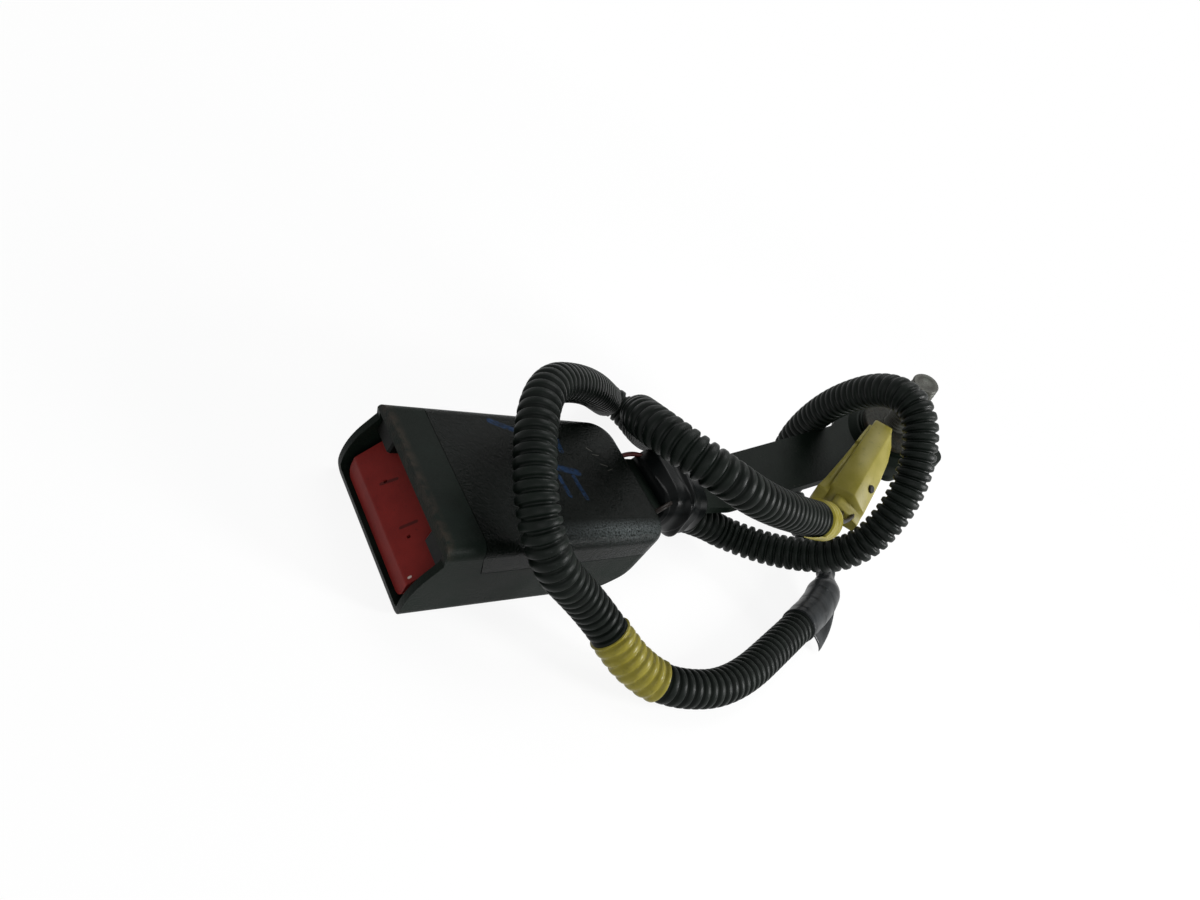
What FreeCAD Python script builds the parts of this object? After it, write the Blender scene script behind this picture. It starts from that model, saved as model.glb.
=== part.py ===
"""Seat belt buckle with a bent steel stalk, its anchor bolt and its corrugated harness.

Millimetres. While the pieces are built, x = 0 is the front edge of the lip over the tongue
slot, x grows towards the anchor, y goes across and z = 0 is the surface that the buckle lies
on. At the end everything is moved along x so that the origin is midway between both ends.
"""
import FreeCAD, Part
import math
import os

Vector = FreeCAD.Vector

# Housing
housing_height = 28.5
rear_room = 11.8
rear_taper = 4.3
wall = 2.2
cover_wall = 2.0
edge_radius = 3.8
bottom_edge_radius = 3.6
rear_corner_radius = 9.0
cheek_bulge = 3.1
cheek_notch = 0.9
lip_thickness = 3.3
lip_depth = 8.8
heel_run = 25.8
seam_x = 12.1
side_seam_drop_front = 10.7
side_seam_drop_rear = 9.3
seam_gap = 0.2
exit_gap = 2.1
exit_floor = 12.0
rib_run = (24.0, 50.0)
rib_thickness = 2.4
peg_length = 3.0
peg_radius = 1.2
post_radius = 1.6
seat_thickness = 2.0
hook_front_x = 30.0
hook_rear_run = 17.8
hook_width = 6.0
dish_radius = 150.0
dish_depth = 0.8

# Stalk and tongue plane
strap_width = 21.2
strap_thickness = 3.0
strap_edge = 4.5
straight_run = 43.0
bend_angle = 22.3
bend_radius = 6.0
eye_width = 36.0
eye_start = 61.0
eye_end = 97.5
eye_corner = 5.0
hole_at = 82.4
hole_radius = 5.75
step_height = 2.5
step_radius = 15.0
step_slope = 2.5

# Steel channel
channel_front = 9.0
channel_edge = 3.5
channel_side_gap = 3.4
cover_play = 0.3
plate = 2.0
flange_front = 12.0
flange_slot_rear = 21.0
flange_below_pin = 3.0
flange_setback = 6.0
tooth_window_width = 15.0

# Latch, its pin and the rivets
pin_x = 46.0
pin_drop = 9.2
pin_radius = 2.0
pin_play = 0.05
latch_width = 12.0
latch_tip = 20.0
latch_rest_gap = 1.1
rivets_from_pin = (5.5, 12.5)
rivet_y = 7.0
rivet_radius = 2.5
rivet_head_radius = 3.4
rivet_head = 2.0

# Tongue slot, ejector and its spring
slot_width = 29.2
slot_height = 6.3
guide_overlap = 1.5
guide_bridge = 0.9
ejector_front = 16.0
ejector_travel = 12.0
ejector_thickness = 3.6
ejector_bar = 6.0
ejector_prong_rear = 28.0
spring_drop = 3.0
spring_coil_radius = 1.75
spring_wire = 0.6
spring_block = 8.0
magnet_size = (3.0, 4.0, 2.0)
magnet_y = 7.0
board_top = 9.2
board_thickness = 1.4
board_length = 12.0
board_width = 22.0
board_overlap = 2.0
board_post_y = 5.0

# Button
button_shoulder = 3.35
button_side_gap = 2.3
button_bottom = 2.7
button_ridge_z = 9.0
button_ridge_x = -1.5
button_rim_x = 6.0
button_back = 11.6
button_wall = 2.0
button_travel = 6.0
button_corner = 6.0
groove_width = 0.9
groove_ys = (-9.5, 9.5)
arm_gap = 0.4
arm_thickness = 2.0
arm_rear = 29.0
release_drop = 4.4
release_radius = 1.5
return_spring_y = 10.0
return_spring_z = 6.0
return_spring_radius = 2.2
return_spring_wire = 0.7
return_spring_block = 9.4

# Anchor bolt, bush and washer, along the eye's own axis
bolt_radius = 5.0
bolt_tip = 29.6
bolt_chamfer = 0.7
shoulder_radius = 5.3
bolt_flange_radius = 11.5
bolt_flange = 2.5
bolt_hex = 17.0
bolt_hex_height = 7.0
bush_radius = 14.0
bush_thickness = 1.0
bush_play = 0.08
washer_radius = 13.0
washer_thickness = 2.4

# Harness
tube_radius = 5.9
neck_radius = 3.9
tape_thickness = 0.9
tape_play = 0.05
lead_radius = 0.8
harness_route = [
    (104, -4, 15), (120, -8, 13.5), (134, -15, 9.5), (144, -31, 20), (152, -45, 41),
    (159, -40, 67), (163, -22, 88), (160, -2, 87), (166, 15, 62), (175, 19, 34),
    (183, 14, 16), (186, -3, 7.6), (184, -22, 6.9), (172, -42, 7), (140, -59, 7),
    (100, -68, 7), (74, -64, 7), (58, -52, 7.2), (42, -38, 9.5), (22, -35, 36.5),
    (29, -8, 38.5), (47, 28, 38), (74, 51, 20), (98, 68, 6.3),
    (117, 60, 6.2), (122, 37, 10), (98, 17, 37), (54, 0, 64), (57, -31, 69),
    (88, -38, 59), (131, -35, 49)]
loop_end = 262.0
main_start = 284.0
junction_end = 313.0
band_start = 402.0
band_end = 424.0
ring_length = 8.0
wrap_sections = [(7.2, 1.6, 8.2, 4.2), (18.2, 3.4, 12.6, 5.2), (31.2, 2.4, 13.0, 3.4)]
wrap_squareness = 3.0

# Connector, lying on the stalk and on the pressed step
connector_at = 51.5
connector_y = -18.5
connector_turn = 33.0
connector_tilt = 5.2
connector_lift = -0.7
connector_height = 12.0
connector_outline = [(-19, -5.4), (2.7, -5.2), (13.2, -4.5), (20.3, -2.9), (22.6, 4.7),
                     (-17.4, 5.9)]
lock_outline = [(-16.9, 6.2), (22.4, 5.0), (23.2, 6.9), (-11.3, 11.8), (-17.5, 14.0)]
lock_height = 7.0
seal_at = (-7.5, -2.9)
seal_radius = 1.6
wire_pitch = 2.4

# Heights, from the top of the housing down
cavity_top = housing_height - cover_wall
lip_bottom = housing_height - lip_thickness
side_seam_front = housing_height - side_seam_drop_front
side_seam_rear = housing_height - side_seam_drop_rear
channel_top = cavity_top - cover_play
strap_top = channel_top - plate
strap_bottom = strap_top - strap_thickness
pin_z = strap_bottom - pin_drop
spring_z = strap_bottom - spring_drop
flange_bottom = pin_z - flange_below_pin
button_top = lip_bottom - slot_height
release_z = button_top - release_drop

# Widths, from the stalk outwards
channel_width = strap_width + 2 * (channel_side_gap + plate)
button_width = channel_width + 2 * (arm_gap + arm_thickness + button_shoulder)
guide_width = button_width + 2 * guide_overlap
front_width = button_width + 2 * (button_side_gap + wall)
rear_width = front_width - rear_taper
exit_width = strap_width + 2 * exit_gap

# Lengths, from the slot towards the anchor
release_x = button_back
return_seat_x = button_back + button_travel + return_spring_block
spring_seat_x = ejector_prong_rear + ejector_bar + ejector_travel + spring_block
rivet_xs = [pin_x + run for run in rivets_from_pin]
strap_front = rivet_xs[0] - strap_edge
channel_rear = rivet_xs[1] + channel_edge
flange_rear = channel_rear - flange_setback
board_front = channel_rear - board_overlap
housing_length = board_front + board_length + rear_room
heel_start = housing_length - heel_run
bend_x = housing_length + straight_run
slope = math.radians(bend_angle)
tip_x = bend_x + eye_end * math.cos(slope) + strap_thickness * math.sin(slope)
middle_x = (tip_x - cheek_bulge) / 2
pieces = {}


def box(x0, x1, y0, y1, z0, z1):
    return Part.makeBox(x1 - x0, y1 - y0, z1 - z0, Vector(x0, y0, z0))


def rod(start, direction, radius, length):
    return Part.makeCylinder(radius, length, Vector(*start), Vector(*direction))


def ring(start, direction, outer, inner, length):
    return rod(start, direction, outer, length).cut(rod(start, direction, inner, length))


def side_prism(points, half_width):
    """Extrude an outline given as x, z pairs across the buckle."""
    corners = [Vector(x, -half_width, z) for x, z in points]
    face = Part.Face(Part.makePolygon(corners + corners[:1]))
    return face.extrude(Vector(0, 2 * half_width, 0))


def plan_prism(points, z0, z1):
    """Extrude an outline given as x, y pairs upwards."""
    corners = [Vector(x, y, z0) for x, y in points]
    face = Part.Face(Part.makePolygon(corners + corners[:1]))
    return face.extrude(Vector(0, 0, z1 - z0))


def edges_where(shape, test):
    return [edge for edge in shape.Edges if test(edge.CenterOfMass, edge.BoundBox)]


def joined(shapes):
    result = shapes[0]
    for shape in shapes[1:]:
        result = result.fuse(shape)
    return result.removeSplitter()


def half_width_at(x):
    return front_width / 2 - (front_width - rear_width) / 2 * x / housing_length


def on_stalk(shape):
    """Move a shape from the eye's own axes (x along the stalk, z off its top) to its place."""
    placed = shape.copy()
    placed.rotate(Vector(0, 0, 0), Vector(0, 1, 0), -bend_angle)
    placed.translate(Vector(bend_x, 0, strap_top))
    return placed


def closed_front():
    """The housing's front edge from the floor over the cheek and the notch to the lip."""
    def at(x, share):
        return Vector(x, 0, share * housing_height)
    chin = at(-cheek_bulge / 2, 0)
    jaw = at(-0.4 * cheek_bulge, 0.63)
    notch = at(cheek_notch, 0.8)
    lip = Vector(0, 0, lip_bottom)
    edges = [Part.Arc(chin, at(-cheek_bulge, 0.36), jaw).toShape()]
    edges.append(Part.LineSegment(jaw, notch).toShape())
    edges.append(Part.LineSegment(notch, lip).toShape())
    edges.append(Part.LineSegment(lip, at(0, 1)).toShape())
    return edges


def open_front(height):
    """A straight front edge ahead of the housing, so that the hollow runs out through it."""
    low = Vector(-2 * cheek_bulge, 0, wall)
    return [Part.LineSegment(low, Vector(low.x, 0, height)).toShape()]


def housing_form(inset, height, front_edges, top_radius, bottom_radius):
    """The housing's outer form, or its hollow where the inset is the wall."""
    rear = housing_length - inset
    rear_top = Vector(rear, 0, height)
    rear_low = Vector(rear - 2.2, 0, 0.58 * housing_height)
    heel_mid = Vector(housing_length - 13 - 0.3 * inset, 0, 4.2 + 0.9 * inset)
    heel = Vector(heel_start, 0, inset)
    chin = front_edges[0].firstVertex(True).Point
    top = front_edges[-1].lastVertex(True).Point
    edges = list(front_edges)
    edges.append(Part.LineSegment(top, rear_top).toShape())
    edges.append(Part.LineSegment(rear_top, rear_low).toShape())
    edges.append(Part.Arc(rear_low, heel_mid, heel).toShape())
    edges.append(Part.LineSegment(heel, chin).toShape())
    profile = Part.Face(Part.Wire(Part.__sortEdges__(edges)))
    profile.translate(Vector(0, -front_width, 0))
    side = profile.extrude(Vector(0, 2 * front_width, 0))
    front = -cheek_bulge - 8
    corners = [(front, -half_width_at(front) + inset), (rear, -rear_width / 2 + inset),
               (rear, rear_width / 2 - inset), (front, half_width_at(front) - inset)]
    block = plan_prism(corners, inset, height)
    uprights = edges_where(block, lambda c, b: b.ZLength > 10 and c.x > rear - 1)
    block = block.makeFillet(rear_corner_radius - inset, uprights)
    rim = edges_where(block, lambda c, b: c.z > height - 0.01 and c.x > front + 1)
    block = block.makeFillet(top_radius, rim)
    sole = edges_where(block, lambda c, b: c.z < inset + 0.01 and c.x > front + 1)
    block = block.makeFillet(bottom_radius, sole)
    return side.common(block)


def housing_shells():
    """Both shells share one form: the lower one with the lip, the upper one behind the seam."""
    outer = housing_form(0, housing_height, closed_front(), edge_radius, bottom_edge_radius)
    hollow = housing_form(wall, cavity_top, open_front(cavity_top), edge_radius - wall,
                          bottom_edge_radius - wall)
    hollow = hollow.cut(box(-front_width, lip_depth, -front_width, front_width,
                            lip_bottom, housing_height))
    way_out = box(housing_length - 9, housing_length + 2, -exit_width / 2, exit_width / 2,
                  exit_floor, cavity_top - 0.2)
    shell = outer.cut(hollow).cut(way_out)

    def behind_seam(gap):
        drop = housing_height - side_seam_front
        return side_prism([(seam_x + gap, housing_height + 1),
                           (seam_x + gap, housing_height - edge_radius),
                           (seam_x + 0.28 * drop + gap, side_seam_front + gap),
                           (housing_length + 1, side_seam_rear + gap),
                           (housing_length + 1, housing_height + 1)], front_width)
    return shell.cut(behind_seam(0)), shell.common(behind_seam(seam_gap))


def lower_cover(shell):
    """Adds the rests, spring seats and posts that the inner pieces stand on."""
    floor = 0.6 * wall
    rest_y = channel_width / 2 - plate / 2
    rest_top = flange_bottom - 0.2
    adds = []
    seat_top = return_spring_z + return_spring_radius + 0.2
    for side in (-1, 1):
        near, far = sorted((side * (latch_width / 2 + 0.8),
                            side * (return_spring_y + return_spring_radius + 1)))
        adds.append(box(return_seat_x, return_seat_x + seat_thickness, near, far, floor,
                        seat_top))
        y = side * rest_y
        adds.append(box(*rib_run, y - rib_thickness / 2, y + rib_thickness / 2, floor, rest_top))
        adds.append(rod((return_seat_x, side * return_spring_y, return_spring_z), (-1, 0, 0),
                        peg_radius, peg_length))
        adds.append(rod((board_front + board_length / 2, side * board_post_y, floor), (0, 0, 1),
                        post_radius, board_top - board_thickness - floor))
    seat_half = spring_coil_radius + 1.45
    adds.append(box(spring_seat_x, spring_seat_x + seat_thickness, -seat_half, seat_half, floor,
                    strap_bottom - 0.4))
    adds.append(rod((spring_seat_x, 0, spring_z), (-1, 0, 0),
                    spring_coil_radius - spring_wire / 2 - 0.45, peg_length))
    return joined([shell] + adds)


def upper_cover(shell):
    """Adds snap hooks inside the walls and the shallow dish in the top."""
    hooks = []
    for x in (hook_front_x, housing_length - hook_rear_run):
        start = x - hook_width / 2
        end = x + hook_width / 2
        for side in (-1, 1):
            y = half_width_at(x) - cover_wall
            low = box(start, end, y - 1.9, y - 0.5, side_seam_front - 5, side_seam_rear + 4)
            root = box(start, end, y - 1.9, y + 0.6, side_seam_rear + 2, side_seam_rear + 4)
            hook = low.fuse(root)
            if side < 0:
                hook = hook.mirror(Vector(0, 0, 0), Vector(0, 1, 0))
            hooks.append(hook)
    body = joined([shell] + hooks)
    centre_z = housing_height + dish_radius - dish_depth
    return body.cut(Part.makeSphere(dish_radius, Vector(heel_start, 0, centre_z)))


def tongue_guide():
    """The insert under the lip that frames the slot on three sides."""
    top = lip_bottom - 0.1
    cheek_floor = button_top + 0.3
    front = 1.6
    half = guide_width / 2
    bridge = box(front, channel_front - 0.2, -half, half, top - guide_bridge, top)
    cheeks = []
    for side in (-1, 1):
        near, far = sorted((side * slot_width / 2, side * half))
        cheeks.append(box(front, channel_front - 0.2, near, far, cheek_floor, top))
    guide = joined([bridge] + cheeks)
    lead_in = edges_where(guide, lambda c, b: c.x < front + 0.01 and abs(c.y) < slot_width / 2 + 0.1
                          and cheek_floor < c.z < top - 0.1)
    return guide.makeChamfer(0.6, lead_in)


def channel():
    """Bent steel sheet: a plate over the tongue's path and a flange down each side."""
    half = channel_width / 2
    top = box(channel_front, channel_rear, -half, half, strap_top, channel_top)
    flange_slot_top = button_top + 0.4
    outline = [(flange_front, strap_top), (flange_front, flange_slot_top),
               (flange_slot_rear, flange_slot_top), (flange_slot_rear, flange_bottom),
               (flange_rear, flange_bottom), (channel_rear - 2, flange_slot_top),
               (channel_rear - 2, strap_top)]
    flange = side_prism(outline, plate / 2)
    flanges = []
    for side in (-1, 1):
        wing = flange.copy()
        wing.translate(Vector(0, side * (half - plate / 2), 0))
        flanges.append(wing)
    body = joined([top] + flanges)
    bends = edges_where(body, lambda c, b: abs(c.z - channel_top) < 0.01 and b.XLength > 40)
    body = body.makeFillet(0.8 * plate, bends)
    window_half = tooth_window_width / 2
    body = body.cut(box(latch_tip - 1, latch_tip + 8, -window_half, window_half,
                        strap_bottom, channel_top + 1))
    body = body.cut(rod((pin_x, -half - 1, pin_z), (0, 1, 0), pin_radius + pin_play,
                        channel_width + 2))
    for x in rivet_xs:
        for side in (-1, 1):
            body = body.cut(rod((x, side * rivet_y, strap_top - 1), (0, 0, 1),
                                rivet_radius, plate + 2))
            sink = Part.makeCone(rivet_radius, rivet_head_radius, 1.2,
                                 Vector(x, side * rivet_y, channel_top - 1.2))
            body = body.cut(sink)
    return body


def rivets():
    """Four rivets, flush in the plate and with a flat head under the stalk."""
    group = []
    for x in rivet_xs:
        for side in (-1, 1):
            y = side * rivet_y
            shank = rod((x, y, strap_bottom), (0, 0, 1), rivet_radius,
                        channel_top - strap_bottom)
            head = rod((x, y, strap_bottom - rivet_head), (0, 0, 1), rivet_head_radius,
                       rivet_head)
            rim = edges_where(head, lambda c, b: c.z < strap_bottom - rivet_head + 0.1)
            head = head.makeFillet(0.8, rim)
            flush = Part.makeCone(rivet_radius, rivet_head_radius, 1.2,
                                  Vector(x, y, channel_top - 1.2))
            group.append(joined([shank, head, flush]))
    return Part.makeCompound(group)


def latch():
    """The hook that rises into the tongue's window; it lies down while the buckle is open."""
    tooth_top = strap_bottom - latch_rest_gap
    arm_top = pin_z + 1.4
    arm_bottom = pin_z - 2.6
    outline = [(latch_tip + 0.8, pin_z), (latch_tip, tooth_top - 2.9),
               (latch_tip + 0.6, tooth_top), (latch_tip + 5.6, tooth_top),
               (latch_tip + 6.4, arm_top), (pin_x - 6, arm_top), (pin_x - 3.4, pin_z + 3),
               (pin_x + 2.4, pin_z + 3), (pin_x + 4.2, pin_z), (pin_x + 2.4, arm_bottom),
               (latch_tip + 3.0, arm_bottom)]
    arm = side_prism(outline, latch_width / 2)
    arm = arm.cut(rod((pin_x, -latch_width, pin_z), (0, 1, 0), pin_radius + pin_play,
                      2 * latch_width))
    relief = box(latch_tip + 9, pin_x - 7, -latch_width / 4, latch_width / 4, pin_z - 4,
                 pin_z + 4)
    arm = arm.cut(relief)
    tooth = edges_where(arm, lambda c, b: c.z > tooth_top - 0.1 and b.YLength > latch_width - 1)
    return arm.makeFillet(0.5, tooth)


def latch_pin():
    half = channel_width / 2 + 0.9
    pin = rod((pin_x, -half, pin_z), (0, 1, 0), pin_radius, 2 * half)
    return pin.makeChamfer(0.3, pin.Edges[0:1] + pin.Edges[2:3])


def ejector():
    """A U that runs between the flanges: two prongs for the tongue and a bar behind."""
    half = channel_width / 2 - plate - 0.4
    notch = tooth_window_width / 2 - 0.4
    z1 = strap_top - 0.3
    z0 = z1 - ejector_thickness
    bar_rear = ejector_prong_rear + ejector_bar
    bar = box(ejector_prong_rear, bar_rear, -half, half, z0, z1)
    prongs = []
    for side in (-1, 1):
        near, far = sorted((side * notch, side * half))
        prong = box(ejector_front, ejector_prong_rear, near, far, z0, z1)
        nose = edges_where(prong, lambda c, b: c.x < ejector_front + 0.01 and b.YLength > 1)
        prongs.append(prong.makeChamfer(0.5, nose))
    lug = box(bar_rear - 5, bar_rear, -2.6, 2.6, spring_z - 2.2, z0)
    body = joined([bar, lug] + prongs)
    mx, my, mz = magnet_size
    return body.cut(box(bar_rear - mx, bar_rear, magnet_y, magnet_y + my, z0, z0 + mz))


def magnet():
    mx, my, mz = magnet_size
    x1 = ejector_prong_rear + ejector_bar
    z0 = strap_top - 0.3 - ejector_thickness
    play = tape_play
    return box(x1 - mx + play, x1 - play, magnet_y + play, magnet_y + my - play, z0,
               z0 + mz - play)


def coil(start_x, end_x, y, z, radius, wire, turns):
    """An open compression spring along x, as rings joined by the wire's own width."""
    helix = Part.makeHelix((end_x - start_x - wire) / turns, end_x - start_x - wire, radius)
    circle = Part.Wire(Part.Circle(Vector(radius, 0, 0), Vector(0, 1, 0), wire / 2).toShape())
    spring = helix.makePipeShell([circle], True, True)
    spring.rotate(Vector(0, 0, 0), Vector(0, 1, 0), 90)
    spring.translate(Vector(start_x + wire / 2, y, z))
    return spring


def button():
    """The red button: a bevelled face that runs back to the slot, arms and an open back."""
    outline = [(button_ridge_x + 0.7, button_bottom), (button_ridge_x, button_ridge_z),
               (button_rim_x, button_top), (button_back, button_top),
               (button_back, button_bottom)]
    half = button_width / 2
    body = side_prism(outline, half)
    ridge = edges_where(body, lambda c, b: abs(c.x - button_ridge_x) < 0.01)
    body = body.makeFillet(1.2, ridge)
    section = box(button_ridge_x - 1, button_back + 1, -half, half, button_bottom, button_top)
    corners = edges_where(section, lambda c, b: b.XLength > 5)
    body = body.common(section.makeFillet(button_corner / 2, corners))
    hollow = [(button_ridge_x + 0.7 + button_wall, button_bottom + button_wall),
              (button_ridge_x + button_wall, button_ridge_z),
              (button_rim_x + 0.6, button_top - button_wall),
              (button_back + 1, button_top - button_wall),
              (button_back + 1, button_bottom + button_wall)]
    body = body.cut(side_prism(hollow, half - button_wall))
    for y in groove_ys:
        cut = box(button_ridge_x - 1, button_rim_x - 0.5, y - groove_width / 2,
                  y + groove_width / 2, button_ridge_z + 4, button_ridge_z + 5)
        tilt = math.degrees(math.atan2(button_rim_x - button_ridge_x,
                                       button_top - button_ridge_z))
        cut.rotate(Vector(button_ridge_x + 3, y, button_ridge_z + 4.2), Vector(0, 1, 0), tilt)
        body = body.cut(cut)
    arms = []
    inner = channel_width / 2 + arm_gap
    for side in (-1, 1):
        near, far = sorted((side * inner, side * (inner + arm_thickness)))
        arms.append(box(button_back - button_wall - 3, arm_rear, near, far,
                        release_z - 3, release_z + 2.2))
        near, far = sorted((side * inner, side * (half - 1)))
        arms.append(box(button_back - button_wall - 3, button_back, near, far,
                        release_z - 3, release_z + 2.2))
        seat_y = side * return_spring_y
        web = box(button_back - 1.6, button_back, seat_y - 3.2, seat_y + 3.2,
                  button_bottom + 0.5, button_top - 6)
        arms.append(web)
    body = joined([body] + arms)
    return body.cut(rod((release_x, -front_width, release_z), (0, 1, 0), release_radius,
                        2 * front_width))


def release_bar():
    half = channel_width / 2 + arm_gap + arm_thickness
    return rod((release_x, -half, release_z), (0, 1, 0), release_radius, 2 * half)


def stalk():
    """Flat steel, bent up behind the housing, with a wider eye and a pressed step round it."""
    top = [(strap_front, strap_top), (bend_x, strap_top)]
    reach = eye_start + 4
    end_x = bend_x + reach * math.cos(slope)
    end_z = strap_top + reach * math.sin(slope)
    nx = strap_thickness * math.sin(slope)
    nz = strap_thickness * math.cos(slope)
    heel = bend_x + strap_thickness * math.tan(slope / 2)
    outline = top + [(end_x, end_z), (end_x + nx, end_z - nz), (heel, strap_bottom),
                     (strap_front, strap_bottom)]
    strip = side_prism(outline, strap_width / 2)
    inside = edges_where(strip, lambda c, b: abs(c.x - bend_x) < 0.1 and c.z > strap_top - 0.1)
    strip = strip.makeFillet(bend_radius, inside)
    outside = edges_where(strip, lambda c, b: abs(c.x - heel) < 0.1
                          and abs(c.z - strap_bottom) < 0.1 and b.YLength > 5)
    strip = strip.makeFillet(bend_radius + strap_thickness, outside)
    half = strap_width / 2
    wide = eye_width / 2
    flare = wide - half
    corners = [(eye_start - 4, -half), (eye_start, -half), (eye_start + flare, -wide),
               (eye_end, -wide), (eye_end, wide), (eye_start + flare, wide),
               (eye_start, half), (eye_start - 4, half)]
    eye = plan_prism(corners, -strap_thickness, 0)
    rounds = edges_where(eye, lambda c, b: b.ZLength > 1 and c.x > eye_start - 1)
    eye = eye.makeFillet(eye_corner, rounds)
    centre = Vector(hole_at, 0, 0)
    step = Part.makeCone(step_radius + step_slope, step_radius, step_height, centre)
    pocket = Part.makeCone(step_radius + step_slope - 1.6, step_radius - 1.6, step_height,
                           Vector(hole_at, 0, -strap_thickness))
    hole = rod((hole_at, 0, -10), (0, 0, 1), hole_radius, 20)
    eye = eye.fuse(step).removeSplitter().cut(pocket).cut(hole)
    body = joined([strip, on_stalk(eye)])
    for x in rivet_xs:
        for side in (-1, 1):
            body = body.cut(rod((x, side * rivet_y, strap_bottom - 1), (0, 0, 1),
                                rivet_radius, strap_thickness + 2))
    return body


def bolt():
    """Flanged hexagon bolt: head under the eye, thread standing up through the washer."""
    seat = step_height - strap_thickness
    flange = rod((0, 0, seat - bolt_flange), (0, 0, 1), bolt_flange_radius, bolt_flange)
    rim = edges_where(flange, lambda c, b: c.z < seat - bolt_flange + 0.1)
    flange = flange.makeFillet(1.2, rim)
    corner = bolt_hex / math.sqrt(3)
    points = [(corner * math.cos(math.radians(60 * i)), corner * math.sin(math.radians(60 * i)))
              for i in range(6)]
    hexagon = plan_prism(points, seat - bolt_flange - bolt_hex_height, seat - bolt_flange)
    shoulder = rod((0, 0, seat), (0, 0, 1), shoulder_radius,
                   strap_thickness + bush_thickness + washer_thickness)
    thread = rod((0, 0, seat), (0, 0, 1), bolt_radius, bolt_tip - seat)
    thread = thread.makeChamfer(bolt_chamfer, edges_where(
        thread, lambda c, b: c.z > bolt_tip - 0.1))
    body = joined([flange, hexagon, shoulder, thread])
    body.translate(Vector(hole_at, 0, 0))
    return on_stalk(body)


def bush():
    """A collar: its sleeve lines the eye's hole, its flange lies on the pressed step."""
    flange = ring((hole_at, 0, step_height), (0, 0, 1), bush_radius,
                  shoulder_radius + bush_play, bush_thickness)
    sleeve = ring((hole_at, 0, step_height - strap_thickness + 0.2), (0, 0, 1),
                  hole_radius - bush_play, shoulder_radius + bush_play, strap_thickness - 0.2)
    return on_stalk(joined([flange, sleeve]))


def washer():
    """The rough disc that keeps the bolt in the eye while the buckle is loose."""
    base = step_height + bush_thickness
    disc = ring((hole_at, 0, base), (0, 0, 1), washer_radius, shoulder_radius + bush_play,
                washer_thickness)
    rim = edges_where(disc, lambda c, b: c.z > base + washer_thickness - 0.1
                      and b.XLength > 2 * washer_radius - 1)
    return on_stalk(disc.makeFillet(0.5, rim))


def cord_path(points):
    """Straight runs joined by tangent arcs; each arc is as large as its two runs allow."""
    corners = [Vector(*point) for point in points]
    edges = []
    start = corners[0]
    radii = []
    for before, corner, after in zip(corners, corners[1:], corners[2:]):
        back = before - corner
        ahead = after - corner
        turn = math.pi - back.getAngle(ahead)
        cut = 0.45 * min(back.Length, ahead.Length)
        radii.append(cut / math.tan(turn / 2))
        back.normalize()
        ahead.normalize()
        entry = corner + back * cut
        leave = corner + ahead * cut
        to_centre = (back + ahead).normalize()
        reach = radii[-1] / math.cos(turn / 2)
        middle = corner + to_centre * (reach - radii[-1])
        edges.append(Part.LineSegment(start, entry).toShape())
        edges.append(Part.Arc(entry, middle, leave).toShape())
        start = leave
    edges.append(Part.LineSegment(start, corners[-1]).toShape())
    return edges, radii


def stretch(edges, start, end):
    """The part of a path between two distances along it."""
    part = []
    gone = 0.0
    for edge in edges:
        length = edge.Length
        near = max(start, gone)
        far = min(end, gone + length)
        if far - near > 0.01:
            first = edge.FirstParameter
            last = edge.LastParameter
            if near > gone:
                first = edge.getParameterByLength(near - gone)
            if far < gone + length:
                last = edge.getParameterByLength(far - gone)
            part.append(edge.Curve.toShape(first, last))
        gone += length
    return part


def tube(edges, radius):
    """A round solid along a path, with its volume checked against section and length."""
    first = edges[0]
    start = first.valueAt(first.FirstParameter)
    ahead = first.tangentAt(first.FirstParameter)
    circle = Part.Wire(Part.Circle(start, ahead, radius).toShape())
    solid = Part.Wire(edges).makePipeShell([circle], True, False)
    length = sum(edge.Length for edge in edges)
    expected = math.pi * radius ** 2 * length
    print("tube length %.1f, volume over section times length %.4f"
          % (length, solid.Volume / expected))
    return solid


def sleeve(edges, outer, inner):
    return tube(edges, outer).cut(tube(edges, inner))


def strap_tape(path):
    """Tape wound round the stalk, both leads and the start of the tube."""
    sections = []
    for behind, beside, below, above in wrap_sections:
        x = housing_length + behind
        half = strap_width / 2 + beside
        floor = strap_bottom - below
        top = strap_top + above
        points = []
        for i in range(16):
            turn = 2 * math.pi * (i + 0.5) / 16
            reach = (abs(math.cos(turn)) ** wrap_squareness
                     + abs(math.sin(turn)) ** wrap_squareness) ** (-1 / wrap_squareness)
            points.append(Vector(x, half * reach * math.cos(turn),
                                 (floor + top) / 2 + (top - floor) / 2 * reach * math.sin(turn)))
        curve = Part.BSplineCurve()
        curve.interpolate(points, PeriodicFlag=True)
        sections.append(Part.Wire(curve.toShape()))
    body = Part.makeLoft(sections, True, False)
    gap = 0.15
    body = body.cut(box(housing_length, bend_x, -strap_width / 2 - gap,
                        strap_width / 2 + gap, strap_bottom - gap, strap_top + gap))
    body = body.cut(tube(stretch(path, 0, 30), tube_radius + tape_play))
    for side in (-1, 1):
        body = body.cut(lead_tube(side, lead_radius + tape_play))
    return body


def lead_tube(side, radius):
    """One of two thin wires from the board, past the stalk's edge and into the tape."""
    joint_x = board_front + board_length / 2
    joint_y = side * (board_width / 2 - 2)
    edge_y = side * (strap_width / 2 + 1.1)
    points = [(joint_x, joint_y, board_top), (joint_x, joint_y, board_top + 3.5),
              (joint_x + 8, edge_y, board_top + 5.3),
              (housing_length - 1.8, edge_y, strap_bottom - 0.7),
              (housing_length + 5.2, edge_y + side * 0.2, strap_top + 2.4),
              (housing_length + 13.2, edge_y - side * 3.7, strap_top + 2.2),
              (housing_length + 21.2, edge_y - side * 4.7, strap_top + 1.9)]
    edges, radii = cord_path(points)
    return tube(edges, radius)


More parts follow.
